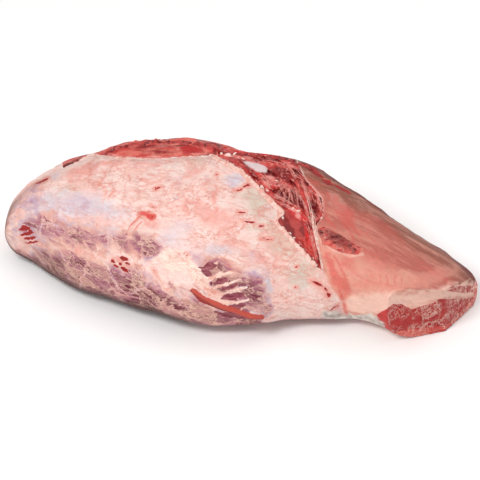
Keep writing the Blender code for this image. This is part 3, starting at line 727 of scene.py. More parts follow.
flesh_masks = {
    "bare": np.clip(bare, -12.0, 12.0),
    "crease": np.clip(
        0.4 * valley_creases * rough + 0.9 * slab_creases + 0.8 * patch_creases + 0.8 * back_bundles
        + rough * (0.6 * smoothstep(0.72, 1.0, cords) + 0.6 * folds), 0.0, 1.0
    ),
    "torn_flesh": rough * on_front,
    # Painted shade: deep red laid in the valley's holes and in the grooves between its cords; it also deepens
    # the red in the nicks and on the sawn face.
    "hollow": (
        1.3 * smoothstep(-0.8, 1.0, hollow) * (valley > 0) + 0.3 * rough * smoothstep(0.0, -0.6, cords)
        + 0.45 * smoothstep(-0.5, 1.5, nicks) + 0.18 * (sawn > 0)
    ),
    "tone": np.where(facing > 0.02, valley_tones + slab_tones + patch_tones, 0.35 + 0.3 * back_tones),
    "silverskin": smoothstep(0.0, -0.06, facing) * mound(seam_gap, 26.0) * smoothstep(
        0.05, 0.45, fractal(body, 0.035, (2.5, 1.0, 1.0), 3, 77.0)
    ),
    "behind": smoothstep(0.0, -0.08, facing),
    "marbling": smoothstep(0.0, 1.5, patch) * 0.45 + (sawn > 0) * (0.65 + 0.5 * smoothstep(185, 250, across)),
    "smooth_muscle": smoothstep(-1.0, 1.0, smooth_muscle),
    "strip": smoothstep(-1.0, 0.5, strip_edge),
    # Painted light and shade: the strip's upper side is painted lighter and its lower side darker.
    "strip_top": smoothstep(-0.9, 0.8, strip / strip_half),
    "silver": smoothstep(-0.8, 0.8, oval),
    "lobe": lobe,
    # Browner toward the crest of the lobe.
    "browned": lobe * (1.0 - smoothstep(2.0, 34.0, -crest_line)),
    # Painted shade: a dark red-brown edge along the lobe's crest and where its far side turns away.
    "crest": lobe * (across > 60) * np.maximum(
        smoothstep(-3.5, 0.5, crest_line),
        smoothstep(0.34, 0.10, facing) * far_side * smoothstep(280.0, 250.0, across),
    ),
    "lobe_low": smoothstep(34.0, 84.0, -crest_line),
    "rose": np.maximum(patches(across_b, up_b, ROSE), threads(across_w, up_w, LOBE_VEINS)),
    "pale": patches(across_b, up_b, PALE_FILM),
    "blue": patches(across_b, up_b, BLUE_FILM_AND_SHEEN),
    "blush": np.maximum.reduce([
        patches(across_b, up_b, BLUSH), threads(across_w, up_w, PINK_THREADS),
        0.8 * smoothstep(-4.5, -0.5, nicks),
    ]),
    "thin": thin,
    # Darker raw muscle, and painted shade in the cave between its walls.
    "raw_dark": np.maximum(patches(across_w, up_w, RAW_DARK), 0.8 * cave * (1.0 - walls)),
    "raw_bright": patches(across_w, up_w, RAW_BRIGHT),
    "raw_pink": np.maximum(patches(across_w, up_w, RAW_PINK), cave * walls * 0.8),
    "lobe_light": patches(across_b, up_b, LOBE_LIGHT),
    "lobe_grey": patches(across_b, up_b, LOBE_GREY),
    "grey_rim": 0.7 * (facing > 0) * threads(across_w, up_w, GREY_RIM),
    # Painted shade: dark brown where the near side turns down under the body, towards the blunt end.
    "dusk": (
        smoothstep(0.72, 0.20, facing + 0.10 * blot[:, 0]) * (1.0 - far_side)
        * smoothstep(-20.0, -90.0, across)
    ),
    "fat": np.maximum.reduce([
        patches(across_b, up_b, WHITE_FAT), threads(across_w, up_w, FAT_THREADS + FAT_FINGERS),
        0.72 * smoothstep(-11.0, 5.0, inside(across_b, up_b, FAT_SHELF)),
        0.5 * (sawn > 0) * (red_cut < 0) * smoothstep(-12.0, -5.0, red_cut),
    ]),
    "upright": (sawn > 0) * 1.0,
    "cream": cream,
    "slashed": (
        smoothstep(-1.0, 1.2, slashes) * smoothstep(22.0, -4.0, seen_across) * (1.0 - 0.9 * fingers)
    ),
    "blood": np.maximum(
        patches(across_w, up_w, BLOOD), 0.45 * threads(across_w, up_w, PINK_THREADS)
    ),
}
FRONT_ONLY = (
    "smooth_muscle", "strip", "silver", "lobe_light", "lobe_grey", "rose", "pale", "blue", "blush",
    "fat", "blood", "raw_dark", "raw_bright", "raw_pink", "hollow",
)
for name in FRONT_ONLY:
    flesh_masks[name] = flesh_masks[name] * on_front
for i, gap in enumerate(back_seams):
    flesh_masks[f"back_seam_{i}"] = np.clip(gap, -SEAM_FAR, SEAM_FAR)
for name, values in flesh_masks.items():
    attribute = flesh.attributes.new(name, "FLOAT", "POINT")
    attribute.data.foreach_set("value", values.astype(np.float32))
for name, places in zip(("lay_left", "lay_right", "crestwise", "tearwise"), (*lays, crestwise, down_tear)):
    attribute = flesh.attributes.new(name, "FLOAT_VECTOR", "POINT")
    attribute.data.foreach_set("vector", places.astype(np.float32).ravel())


def srgb(red, green, blue):
    """An ordinary colour of 0 to 255 a channel, made linear."""
    channels = [value / 255 for value in (red, green, blue)]
    linear = [c / 12.92 if c <= 0.04045 else ((c + 0.055) / 1.055) ** 2.4 for c in channels]
    return (*linear, 1.0)


class Nodes:
    """The nodes of one group or material, and the few steps that every finish is built from."""

    def __init__(self, tree):
        self.tree = tree

    def link(self, value, socket):
        """Feeds a socket from another one, or sets it."""
        if isinstance(value, bpy.types.NodeSocket):
            self.tree.links.new(value, socket)
        else:
            socket.default_value = value

    def add(self, kind, inputs=None, **settings):
        """A node with its settings made and its inputs set or linked."""
        node = self.tree.nodes.new(kind)
        for name, value in settings.items():
            setattr(node, name, value)
        for name, value in (inputs or {}).items():
            self.link(value, node.inputs[name])
        return node

    def calc(self, operation, first, *others):
        """One sum carried on through all the values."""
        for value in others:
            first = self.add("ShaderNodeMath", {0: first, 1: value}, operation=operation).outputs[0]
        return first

    def times(self, *values):
        return self.calc("MULTIPLY", *values)

    def plus(self, *values):
        return self.calc("ADD", *values)

    def most(self, *values):
        return self.calc("MAXIMUM", *values)

    def absolute(self, value):
        return self.add("ShaderNodeMath", {0: value}, operation="ABSOLUTE").outputs[0]

    def rest_of(self, value):
        return self.calc("SUBTRACT", 1.0, value)

    def swing(self, value, amount=1.0):
        """A noise moved to swing either side of 0, by amount in all."""
        return self.times(self.calc("SUBTRACT", value, 0.5), amount)

    def span(self, value, low, high):
        """0 below low, 1 above high, and a smooth step between."""
        inputs = {"Value": value, "From Min": low, "From Max": high}
        return self.add("ShaderNodeMapRange", inputs, interpolation_type="SMOOTHSTEP").outputs[0]

    def between(self, value, low, high):
        """Low where the value is 0 and high where it is 1."""
        return self.add("ShaderNodeMapRange", {"Value": value, "To Min": low, "To Max": high}).outputs[0]

    def blend(self, factor, first, second, kind="MIX"):
        inputs = {"Factor": factor, 6: first, 7: second}
        return self.add("ShaderNodeMix", inputs, data_type="RGBA", blend_type=kind).outputs[2]

    def layered(self, colour, *layers):
        """Colours laid over one another, each as strong as its factor."""
        for factor, over in layers:
            colour = self.blend(factor, colour, over)
        return colour

    def choose(self, factor, first, second):
        """A value between two others."""
        inputs = {"Factor": factor, 2: first, 3: second}
        return self.add("ShaderNodeMix", inputs, data_type="FLOAT").outputs[0]

    def stretched(self, scale, turn=(0.0, 0.0, 0.0)):
        """The piece's own coordinates in metres, turned and then scaled."""
        place = self.add("ShaderNodeTexCoord").outputs["Object"]
        turned = self.add("ShaderNodeMapping", {"Vector": place, "Rotation": turn}).outputs[0]
        return self.scaled(turned, scale)

    def scaled(self, place, scale):
        return self.add("ShaderNodeMapping", {"Vector": place, "Scale": scale}).outputs[0]

    def noise(self, place, scale=1.0, detail=4.0, roughness=0.6, distortion=0.0):
        inputs = {"Vector": place, "Scale": scale, "Detail": detail, "Roughness": roughness}
        inputs["Distortion"] = distortion
        return self.add("ShaderNodeTexNoise", inputs).outputs["Fac"]

    def ridges(self, place, width, detail=4.0, roughness=0.6):
        """1 along the crooked lines where a noise crosses its middle, 0 further off than width."""
        uneven = self.calc("SUBTRACT", self.noise(place, 1.0, detail, roughness), 0.5)
        return self.span(self.absolute(uneven), width, 0.0)

    def painted(self, name, output="Fac"):
        """What was painted on the mesh under a name."""
        return self.add("ShaderNodeAttribute", attribute_name=name).outputs[output]


SOCKET_KINDS = {1: "NodeSocketFloat", 3: "NodeSocketVector", 4: "NodeSocketColor"}


def new_group(name, inputs):
    """A node group that gives a colour and a height: its nodes, its inputs and its results."""
    group = bpy.data.node_groups.new(name, "ShaderNodeTree")
    for socket, value in inputs.items():
        kind = SOCKET_KINDS[np.size(value)]
        group.interface.new_socket(socket, in_out="INPUT", socket_type=kind).default_value = value
    group.interface.new_socket("Colour", in_out="OUTPUT", socket_type="NodeSocketColor")
    group.interface.new_socket("Height", in_out="OUTPUT", socket_type="NodeSocketFloat")
    return Nodes(group), group.nodes.new("NodeGroupInput").outputs, group.nodes.new("NodeGroupOutput").inputs


# Bare muscle: dark red bundles with a paler web of connective tissue and, where the cut is
# marbled, short crooked streaks of fat.
DEEP_RED = srgb(88, 14, 20)
MUSCLE_RED = srgb(186, 56, 54)
BRIGHT_RED = srgb(218, 102, 90)
WEB_PINK = srgb(230, 138, 124)
MARBLE_FAT = srgb(240, 190, 176)

grain, given, result = new_group(
    "muscle_grain", {"Tone": 0.5, "Web": 0.0, "Marbling": 0.0, "Hollow Shade": 0.0, "Upright": 0.0}
)
plain = grain.stretched((1.0, 1.0, 1.0))
lying = grain.noise(grain.stretched((160.0, 900.0, 900.0)))
standing = grain.noise(grain.stretched((620.0, 620.0, 110.0), (0.0, 0.25, 0.0)))
fibre = grain.choose(given["Upright"], lying, standing)
cloud = grain.noise(plain, 95.0, 3.0)
fine = grain.noise(plain, 700.0, 3.0)
streaky = grain.noise(grain.stretched((26.0, 150.0, 150.0)))
banded = grain.noise(grain.stretched((9.0, 60.0, 60.0)))
shade = grain.plus(
    grain.times(given["Tone"], 0.35), grain.times(cloud, 0.25), grain.times(streaky, 0.40),
    grain.times(banded, 0.30), grain.times(fibre, 0.45),
)
web = grain.times(given["Web"], grain.span(cloud, 0.30, 0.62), grain.span(fine, 0.2, 0.65))
streaks = grain.ridges(grain.stretched((70.0, 190.0, 190.0), (0.0, 0.5, 0.0)), 0.045, 4.0, 0.55)
flecks = grain.ridges(grain.stretched((210.0, 210.0, 75.0), (0.0, 0.3, 0.0)), 0.046, 4.0, 0.55)
broken = grain.span(grain.noise(plain, 55.0, 4.0, 0.7), 0.38, 0.56)
thread = grain.calc("MINIMUM", grain.times(grain.most(streaks, flecks), broken, given["Marbling"]), 1.0)
# The Hollow Shade input lays deep red over the muscle as painted shade in holes and grooves.
red = grain.layered(
    DEEP_RED,
    (grain.span(shade, 0.32, 0.76), MUSCLE_RED), (grain.span(shade, 0.72, 1.08), BRIGHT_RED),
    (web, WEB_PINK), (thread, MARBLE_FAT), (given["Hollow Shade"], DEEP_RED),
)
grain.link(red, result["Colour"])
grain.link(grain.plus(grain.times(fibre, 0.5), grain.times(fine, 0.5), thread), result["Height"])

# The membrane: a wet skin laid up of torn sheets and crossing strands, drawn out along the cut.
# Where it is thick it is cream and pink, and where it is thin blue, then lilac, then the purple of
# the muscle under it.
CREAM = srgb(242, 211, 202)
PALE = srgb(214, 200, 184)
FILM_BLUE_AND_SHEEN = srgb(208, 200, 210)
PINK = srgb(237, 172, 161)
THIN_BLUE = srgb(196, 172, 188)
THIN_PEACH = srgb(220, 166, 152)
THIN_LILAC = srgb(170, 104, 122)
THIN_PURPLE = srgb(110, 36, 54)
STRAND_PINK = srgb(222, 136, 120)
STRAND_PALE = srgb(240, 196, 178)
SHEET_WHITE = srgb(240, 220, 212)

film, given, result = new_group("membrane_film", {
    "Colour": (1.0, 1.0, 1.0, 1.0), "Thin": 0.0, "Lay Left": (0.0, 0.0, 0.0), "Lay Right": (0.0, 0.0, 0.0),
    "Sheets": 1.0,
})
plain = film.stretched((1.0, 1.0, 1.0))
broad = film.noise(plain, 38.0, 4.0, 0.6, 0.6)
small = film.noise(plain, 210.0, 4.0, 0.65)


def laid(lay, lengthwise, crosswise, width, detail=4.0):
    """Strands along one lay of the membrane, as many to the metre lengthwise and crosswise."""
    return film.ridges(film.scaled(given[lay], (lengthwise, crosswise, crosswise)), width, detail)


def sheets(place, across_sheet, shove_scale, shove_far):
    """The edge of each torn sheet of skin, and two random tones for the sheet."""
    inputs = {"Vector": plain, "Scale": shove_scale, "Detail": 5.0, "Roughness": 0.6}
    shove = film.add("ShaderNodeTexNoise", inputs).outputs["Color"]
    push = film.add("ShaderNodeVectorMath", {0: shove, "Scale": shove_far}, operation="SCALE").outputs[0]
    crooked = film.add("ShaderNodeVectorMath", {0: place, 1: push}, operation="ADD").outputs[0]
    inputs = {"Vector": film.scaled(crooked, across_sheet), "Scale": 1.0}
    edge = film.add("ShaderNodeTexVoronoi", inputs, feature="DISTANCE_TO_EDGE").outputs["Distance"]
    cell = film.add("ShaderNodeTexVoronoi", inputs, feature="F1").outputs["Color"]
    parts = film.add("ShaderNodeSeparateColor", {"Color": cell}).outputs
    return edge, parts["Red"], parts["Green"]


wide_edge, wide_tone, wide_tint = sheets(plain, (24.0, 24.0, 24.0), 34.0, 0.090)
slim_edge, _, slim_tint = sheets(plain, (58.0, 58.0, 58.0), 90.0, 0.034)
window_edge, window_tone, window_tint = sheets(given["Lay Left"], (42.0, 78.0, 78.0), 70.0, 0.026)
here = film.span(broad, 0.36, 0.60)
there = film.span(film.noise(plain, 24.0, 3.0), 0.42, 0.60)
cloudy = film.noise(plain, 15.0, 3.0, 0.55, 0.8)
coarse = film.most(laid("Lay Left", 15.0, 62.0, 0.016, 6.0), laid("Lay Right", 17.0, 52.0, 0.015, 6.0))
coarse = film.times(coarse, here)
silky = film.most(laid("Lay Left", 46.0, 210.0, 0.050), laid("Lay Right", 52.0, 190.0, 0.050))
wide_shore = film.times(film.span(wide_edge, 0.045, 0.0), here)
slim_shore = film.times(film.span(slim_edge, 0.07, 0.0), there)
shore = film.times(film.most(wide_shore, slim_shore), given["Sheets"])

over_thin = film.span(given["Thin"], 0.10, 0.65)
thick = film.layered(
    given["Colour"],
    (film.times(film.span(wide_tint, 0.50, 1.0), given["Sheets"], 0.45), PINK),
    (film.times(film.span(slim_tint, 0.50, 1.0), given["Sheets"], 0.55), SHEET_WHITE),
    (film.times(shore, 0.70), STRAND_PINK),
)
thinness = film.plus(
    given["Thin"], film.swing(broad, 0.85), film.swing(small, 0.35), film.swing(window_tone, 0.40),
    film.swing(cloudy, 0.75),
)
cool = film.span(film.noise(plain, 21.0, 2.0, 0.5), 0.44, 0.58)
net = film.times(film.span(window_edge, 0.075, 0.01), film.span(small, 0.36, 0.52))
strand_colour = film.blend(over_thin, STRAND_PINK, STRAND_PALE)
quiet = film.between(given["Sheets"], 0.25, 1.0)
film_colour = film.layered(
    thick,
    (film.span(thinness, 0.15, 0.50), film.blend(cool, THIN_PEACH, THIN_BLUE)),
    (film.span(thinness, 0.40, 0.75), THIN_LILAC),
    (film.span(thinness, 0.64, 1.12), THIN_PURPLE),
    (film.times(film.span(window_tint, 0.74, 0.84), over_thin, 0.50), THIN_PEACH),
    (film.times(net, over_thin, 0.58), STRAND_PALE),
    (film.times(silky, film.between(over_thin, 0.20, 0.30), quiet), strand_colour),
    (film.times(coarse, film.between(over_thin, 0.60, 0.75), quiet), strand_colour),
)
value = film.plus(film.times(broad, 0.16), 0.90, film.swing(small, 0.30), film.swing(wide_tone, 0.07))
grey = film.add("ShaderNodeCombineColor", {"Red": value, "Green": value, "Blue": value}).outputs[0]
film.link(film.blend(1.0, film_colour, grey, "MULTIPLY"), result["Colour"])
height = film.plus(
    film.times(small, 0.4), film.times(silky, 0.25), film.times(shore, 0.5), film.times(coarse, 0.6)
)
film.link(height, result["Height"])

# The whole finish, laid over the body from the bottom up: film, what shows through it, fat, and
# bare muscle wherever the knife went through.
FAT_COLOUR = srgb(248, 222, 208)
FAT_PINK = srgb(236, 184, 166)
BLOOD_COLOUR = srgb(214, 60, 56)
LOBE_SALMON = srgb(190, 104, 92)
LOBE_BROWN = srgb(142, 82, 66)
LOBE_PALE = srgb(226, 156, 138)
LOBE_GREYED = srgb(190, 148, 132)
CREST_SHADE = srgb(112, 42, 34)
ROSE_COLOUR = srgb(212, 92, 84)
GREY_FILM = srgb(176, 164, 158)
GREY_FILM_LIGHT = srgb(222, 210, 200)
RAW_RED = srgb(212, 52, 50)
TORN_PINK = srgb(236, 158, 150)
BACK_FAT = srgb(234, 192, 176)
SILVERSKIN = srgb(206, 158, 156)
CREAM_RIDGE = srgb(230, 178, 164)
SLASH_PURPLE = srgb(118, 40, 56)
SLASH_LILAC = srgb(160, 84, 96)
# The colour of the painted shade under the near side
UNDERSIDE_SHADE_BROWN = srgb(74, 32, 30)
# The strip's painted shade on its lower side and painted light on its upper side
STRIP_SHADED_SIDE = srgb(140, 46, 44)
STRIP_LIT_SIDE = srgb(190, 86, 72)
SMOOTH_COLOUR = srgb(156, 60, 60)
SILVER_COLOUR = srgb(222, 202, 202)
FLESH_GLOW = (1.0, 0.45, 0.35)  # how far red, green and blue light travel in meat, against each other

finish = bpy.data.materials.new("raw_meat_and_membrane")
finish.use_nodes = True
coat = Nodes(finish.node_tree)
shader = coat.tree.nodes["Principled BSDF"]
plain = coat.stretched((1.0, 1.0, 1.0))
ragged = coat.swing(coat.noise(plain, 330.0))
soft_ragged = coat.swing(coat.noise(plain, 110.0, 5.0, 0.65))


def torn_mask(name, low, high, raggedness):
    """A painted mask whose edge is broken up by the grain of the meat."""
    return coat.span(coat.plus(coat.painted(name), coat.times(soft_ragged, raggedness)), low, high)


# The second lobe: brown and rosy bands along its crest, browner toward the crest, and painted shade on the
# crest's edge where it turns away.
along_crest = coat.painted("crestwise", "Vector")
wide_bands = coat.noise(coat.scaled(along_crest, (7.0, 60.0, 60.0)))
slim_bands = coat.noise(coat.scaled(along_crest, (24.0, 260.0, 260.0)), 1.0, 3.0)
salmon = coat.layered(
    LOBE_SALMON,
    (torn_mask("browned", 0.1, 0.9, 0.3), LOBE_BROWN),
    (torn_mask("lobe_low", 0.0, 1.0, 0.5), LOBE_PALE),
    (coat.times(coat.span(wide_bands, 0.50, 0.68), 0.55), LOBE_PALE),
    (coat.times(coat.span(wide_bands, 0.46, 0.30), 0.45), ROSE_COLOUR),
    (coat.times(coat.span(slim_bands, 0.52, 0.70), 0.40), LOBE_PALE),
    (torn_mask("lobe_light", 0.1, 0.9, 0.6), LOBE_PALE),
    (torn_mask("lobe_grey", 0.1, 0.9, 0.6), LOBE_GREYED),
    (coat.times(torn_mask("rose", 0.0, 1.0, 0.8), 0.75), ROSE_COLOUR),
    # Painted shade on the crest's edge.
    (torn_mask("crest", 0.2, 0.8, 0.8), CREST_SHADE),
)

# The membrane side, with the fat and the blood that lie on it.
streaks = coat.times(coat.span(slim_bands, 0.50, 0.66), 0.5)
fat_streak = coat.most(streaks, coat.times(coat.painted("lobe"), 0.75))
fat = torn_mask("fat", 0.20, 0.80, 0.6)
skin = coat.layered(
    CREAM,
    (torn_mask("pale", 0.10, 0.80, 0.6), PALE),
    # Bluish film, partly a painted sheen.
    (torn_mask("blue", 0.10, 0.95, 0.4), FILM_BLUE_AND_SHEEN),
    (torn_mask("blush", 0.02, 0.75, 0.9), PINK),
    (coat.painted("lobe"), salmon),
    (fat, coat.blend(fat_streak, FAT_COLOUR, FAT_PINK)),
    (torn_mask("cream", 0.25, 0.75, 0.5), CREAM_RIDGE),
    (torn_mask("blood", 0.12, 0.6, 0.4), BLOOD_COLOUR),
)
calm_film = coat.most(coat.painted("lobe"), coat.times(coat.painted("blue"), 0.8))
membrane = coat.add("ShaderNodeGroup", {
    "Colour": skin, "Thin": coat.times(coat.painted("thin"), coat.rest_of(fat)),
    "Lay Left": coat.painted("lay_left", "Vector"), "Lay Right": coat.painted("lay_right", "Vector"),
    "Sheets": coat.rest_of(calm_film),
}, node_tree=film.tree).outputs
slash_streaks = coat.span(coat.noise(coat.stretched((90.0, 420.0, 420.0)), 1.0, 3.0), 0.36, 0.66)
slash_shade = coat.blend(slash_streaks, SLASH_PURPLE, SLASH_LILAC)
slashed = coat.times(torn_mask("slashed", 0.25, 0.75, 0.5), 0.92)

# Bare muscle: the back with its seams of fat, the torn valley, the smooth muscle, the strip that
# hangs over the lower edge and the silver oval.
muscle = coat.add("ShaderNodeGroup", {
    "Tone": coat.painted("tone"), "Web": coat.painted("crease"), "Marbling": coat.painted("marbling"),
    "Hollow Shade": coat.painted("hollow"), "Upright": coat.painted("upright"),
}, node_tree=grain.tree).outputs
nearest_seam = SEAM_FAR
for i in range(len(BACK_SEAMS)):
    nearest_seam = coat.calc("MINIMUM", nearest_seam, coat.absolute(coat.painted(f"back_seam_{i}")))
uneven_seam = coat.plus(nearest_seam, coat.times(soft_ragged, 7.0))
along_tear = coat.painted("tearwise", "Vector")
torn_fibre = coat.noise(coat.scaled(along_tear, (70.0, 340.0, 340.0)))
torn_clump = coat.noise(coat.scaled(along_tear, (40.0, 120.0, 120.0)))
torn_flesh = coat.painted("torn_flesh")
# The strip is painted lighter on its upper, lit side and darker on its lower, shaded side.
strip_light_and_shade = coat.blend(torn_mask("strip_top", 0.1, 0.9, 0.6), STRIP_SHADED_SIDE, STRIP_LIT_SIDE)
silver_shade = coat.blend(coat.times(coat.span(torn_fibre, 0.48, 0.66), 0.45), SILVER_COLOUR, SILVERSKIN)
bare_colour = coat.layered(
    muscle["Colour"],
    (coat.times(torn_mask("silverskin", 0.2, 0.8, 0.5), 0.6), SILVERSKIN),
    (coat.times(coat.span(uneven_seam, 2.6, 1.0), coat.painted("behind")), BACK_FAT),
    (coat.times(torn_flesh, 0.45), RAW_RED),
    # Darker raw muscle, with painted shade in the valley's cave.
    (coat.times(torn_mask("raw_dark", 0.2, 0.9, 0.6), 0.72), DEEP_RED),
    (torn_mask("raw_bright", 0.2, 0.9, 0.6), RAW_RED),
    (torn_mask("raw_pink", 0.2, 0.9, 0.9), TORN_PINK),
    (coat.times(coat.span(torn_clump, 0.46, 0.36), torn_flesh, 0.70), DEEP_RED),
    (coat.times(coat.span(torn_fibre, 0.54, 0.68), torn_flesh, 0.90), TORN_PINK),
    (coat.times(coat.span(torn_fibre, 0.42, 0.30), torn_flesh, 0.60), DEEP_RED),
    (coat.times(coat.painted("smooth_muscle"), 0.55), SMOOTH_COLOUR),
    (coat.times(coat.painted("strip"), 0.85), strip_light_and_shade),
    (coat.times(coat.painted("silver"), 0.95), silver_shade),
)

bared = coat.span(coat.plus(coat.painted("bare"), coat.times(ragged, 2.6)), -0.25, 0.25)
rim_film = coat.blend(coat.span(soft_ragged, -0.12, 0.12), GREY_FILM, GREY_FILM_LIGHT)
over_all = coat.layered(
    membrane["Colour"],
    (slashed, slash_shade),
    (bared, bare_colour),
    (torn_mask("grey_rim", 0.2, 0.6, 0.9), rim_film),
    # Painted shade laid over the near side where it turns under, towards the blunt end.
    (coat.times(coat.painted("dusk"), 0.92), UNDERSIDE_SHADE_BROWN),
)
coat.link(over_all, shader.inputs["Base Color"])
relief_height = coat.choose(bared, membrane["Height"], muscle["Height"])
bump = coat.add("ShaderNodeBump", {"Strength": 0.55, "Distance": 0.0009, "Height": relief_height})
coat.link(bump.outputs[0], shader.inputs["Normal"])
coat.link(coat.between(coat.noise(plain, 60.0, 3.0), 0.26, 0.52), shader.inputs["Roughness"])
shader.inputs["Specular IOR Level"].default_value = 0.15
shader.inputs["Subsurface Weight"].default_value = 0.10
shader.inputs["Subsurface Radius"].default_value = FLESH_GLOW
shader.inputs["Subsurface Scale"].default_value = 0.004
flesh.materials.append(finish)

# The small pieces below lie on the body's own surface, found by a straight look down on the face.
surface = bvhtree.BVHTree.FromPolygons(
    [tuple(p) for p in points], [tuple(polygon.vertices) for polygon in flesh.polygons]
)
drop_line = Vector(-FACE_OUT)


def on_face_at(across_mm, up_mm, lift=0.0):
    """The place on the body under a point of the face plane, in millimetres, lifted off it by metres."""
    above = Vector((across_mm / 1000, 0.0, -table_height)) + Vector(FACE_UP) * up_mm / 1000
    above += Vector(FACE_OUT) * 0.4
    hit = surface.ray_cast(above, drop_line)[0]
    return None if hit is None else hit + Vector(FACE_OUT) * lift


def smooth_path(points, count):
    """A line of points resampled evenly and rounded off."""
    p = np.array(points, float)
    run = np.concatenate([[0.0], np.cumsum(np.hypot(*(p[1:] - p[:-1]).T))])
    even = np.linspace(0.0, run[-1], count)
    path = np.column_stack([np.interp(even, run, p[:, 0]), np.interp(even, run, p[:, 1])])
    for _ in range(3):
        path[1:-1] = (path[:-2] + 2 * path[1:-1] + path[2:]) / 4
    return path


def add_tube(shape, path, radii, sides=6):
    """A round cord through the points of a path, closed at both ends."""
    rings = []
    for i, place in enumerate(path):
        ahead = (path[min(i + 1, len(path) - 1)] - path[max(i - 1, 0)]).normalized()
        out = ahead.cross(Vector(FACE_OUT)).normalized()
        over = out.cross(ahead).normalized()
        turns = [2 * math.pi * k / sides for k in range(sides)]
        around = [out * math.cos(turn) + over * math.sin(turn) for turn in turns]
        rings.append([shape.verts.new(place + radii[i] * way) for way in around])
    for first, second in zip(rings, rings[1:]):
        for k in range(sides):
            shape.faces.new((first[k], first[(k + 1) % sides], second[(k + 1) % sides], second[k]))
    shape.faces.new(rings[0])
    shape.faces.new(rings[-1])


def finish_piece(shape, name, material):
    """Turns a built shape into a smooth piece of the meat."""
    bmesh.ops.recalc_face_normals(shape, faces=shape.faces)
    mesh = bpy.data.meshes.new(name)
    shape.to_mesh(mesh)
    shape.free()
    mesh.shade_smooth()
    mesh.materials.append(material)
    piece = bpy.data.objects.new(name, mesh)
    bpy.context.scene.collection.objects.link(piece)
    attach(piece, "root")
    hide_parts("shoulder_clod")
    return piece


def add_lump(shape, place, turn, half_length, half_width, rise, rough, grain_size, seed):
    """An uneven lump lying on the face, with its half sizes in millimetres."""
    along = Vector((math.cos(turn), 0.0, 0.0)) + Vector(FACE_UP) * math.sin(turn)
    over = Vector(FACE_OUT).cross(along)
    for vertex in bmesh.ops.create_icosphere(shape, subdivisions=3, radius=1.0)["verts"]:
        out = vertex.co * (1.0 + rough * noise.noise(vertex.co * grain_size + Vector((seed, 0.0, 0.0))))
        vertex.co = place + along * out.x * half_length / 1000 + over * out.y * half_width / 1000
        vertex.co += Vector(FACE_OUT) * out.z * rise * half_width / 1000


# The mottling of moist tissue, which the tendon, the lip, the strands, the trim and the nodules share
mottle, given, result = new_group("moist_mottle", {
    "Light": (1.0, 1.0, 1.0, 1.0), "Dark": (0.5, 0.5, 0.5, 1.0), "Scale": 200.0,
})
cloud = mottle.noise(mottle.stretched((1.0, 1.0, 1.0)), given["Scale"], 4.0, 0.65)
mottle.link(mottle.blend(mottle.span(cloud, 0.35, 0.65), given["Dark"], given["Light"]), result["Colour"])
mottle.link(cloud, result["Height"])


def tissue(name, light, dark, scale, roughness):
    """A moist material, mottled between two colours."""
    material = bpy.data.materials.new(name)
    material.use_nodes = True
    nodes = Nodes(material.node_tree)
    shader = nodes.tree.nodes["Principled BSDF"]
    inputs = {"Light": light, "Dark": dark, "Scale": scale}
    mottled = nodes.add("ShaderNodeGroup", inputs, node_tree=mottle.tree).outputs
    nodes.link(mottled["Colour"], shader.inputs["Base Color"])
    bump = nodes.add("ShaderNodeBump", {"Strength": 0.4, "Distance": 0.0005, "Height": mottled["Height"]})
    nodes.link(bump.outputs[0], shader.inputs["Normal"])
    shader.inputs["Roughness"].default_value = roughness
    shader.inputs["Specular IOR Level"].default_value = 0.35
    shader.inputs["Subsurface Weight"].default_value = 0.2
    shader.inputs["Subsurface Radius"].default_value = FLESH_GLOW
    shader.inputs["Subsurface Scale"].default_value = 0.003
    return material


# The tendon: a flat white cord that runs down between the two lobes and frays at its upper end.
# It is tough connective tissue, still fast to the muscle on both sides.
TENDON_WIDTH = 0.0011
tendon_white = tissue("tendon_white", srgb(244, 208, 196), srgb(222, 160, 148), 240.0, 0.42)
shape = bmesh.new()
chance = np.random.default_rng(11)
path = smooth_path(TENDON, 46)
for offset, thickness, start in ((0.0, 1.0, 0.10), (-1.8, 0.55, 0.0), (1.6, 0.5, 0.25), (3.0, 0.35, 0.45)):
    cord, radii = [], []
    for i, (x, y) in enumerate(path):
        t = i / (len(path) - 1)
        if t < start:
            continue
        sway = 0.7 * math.sin(9.0 * t + 3.0 * offset) + 0.25 * chance.normal()
        place = on_face_at(x + offset * (1.0 - 0.6 * t) + sway, y, 0.0002)
        if place is not None:
            cord.append(place)
            swell = 0.35 + 0.65 * math.sin(math.pi * min(1.0, 0.12 + 0.85 * t))
            radii.append(TENDON_WIDTH * thickness * swell)
    add_tube(shape, cord, radii, 8)
finish_piece(shape, "white_tendon", tendon_white)

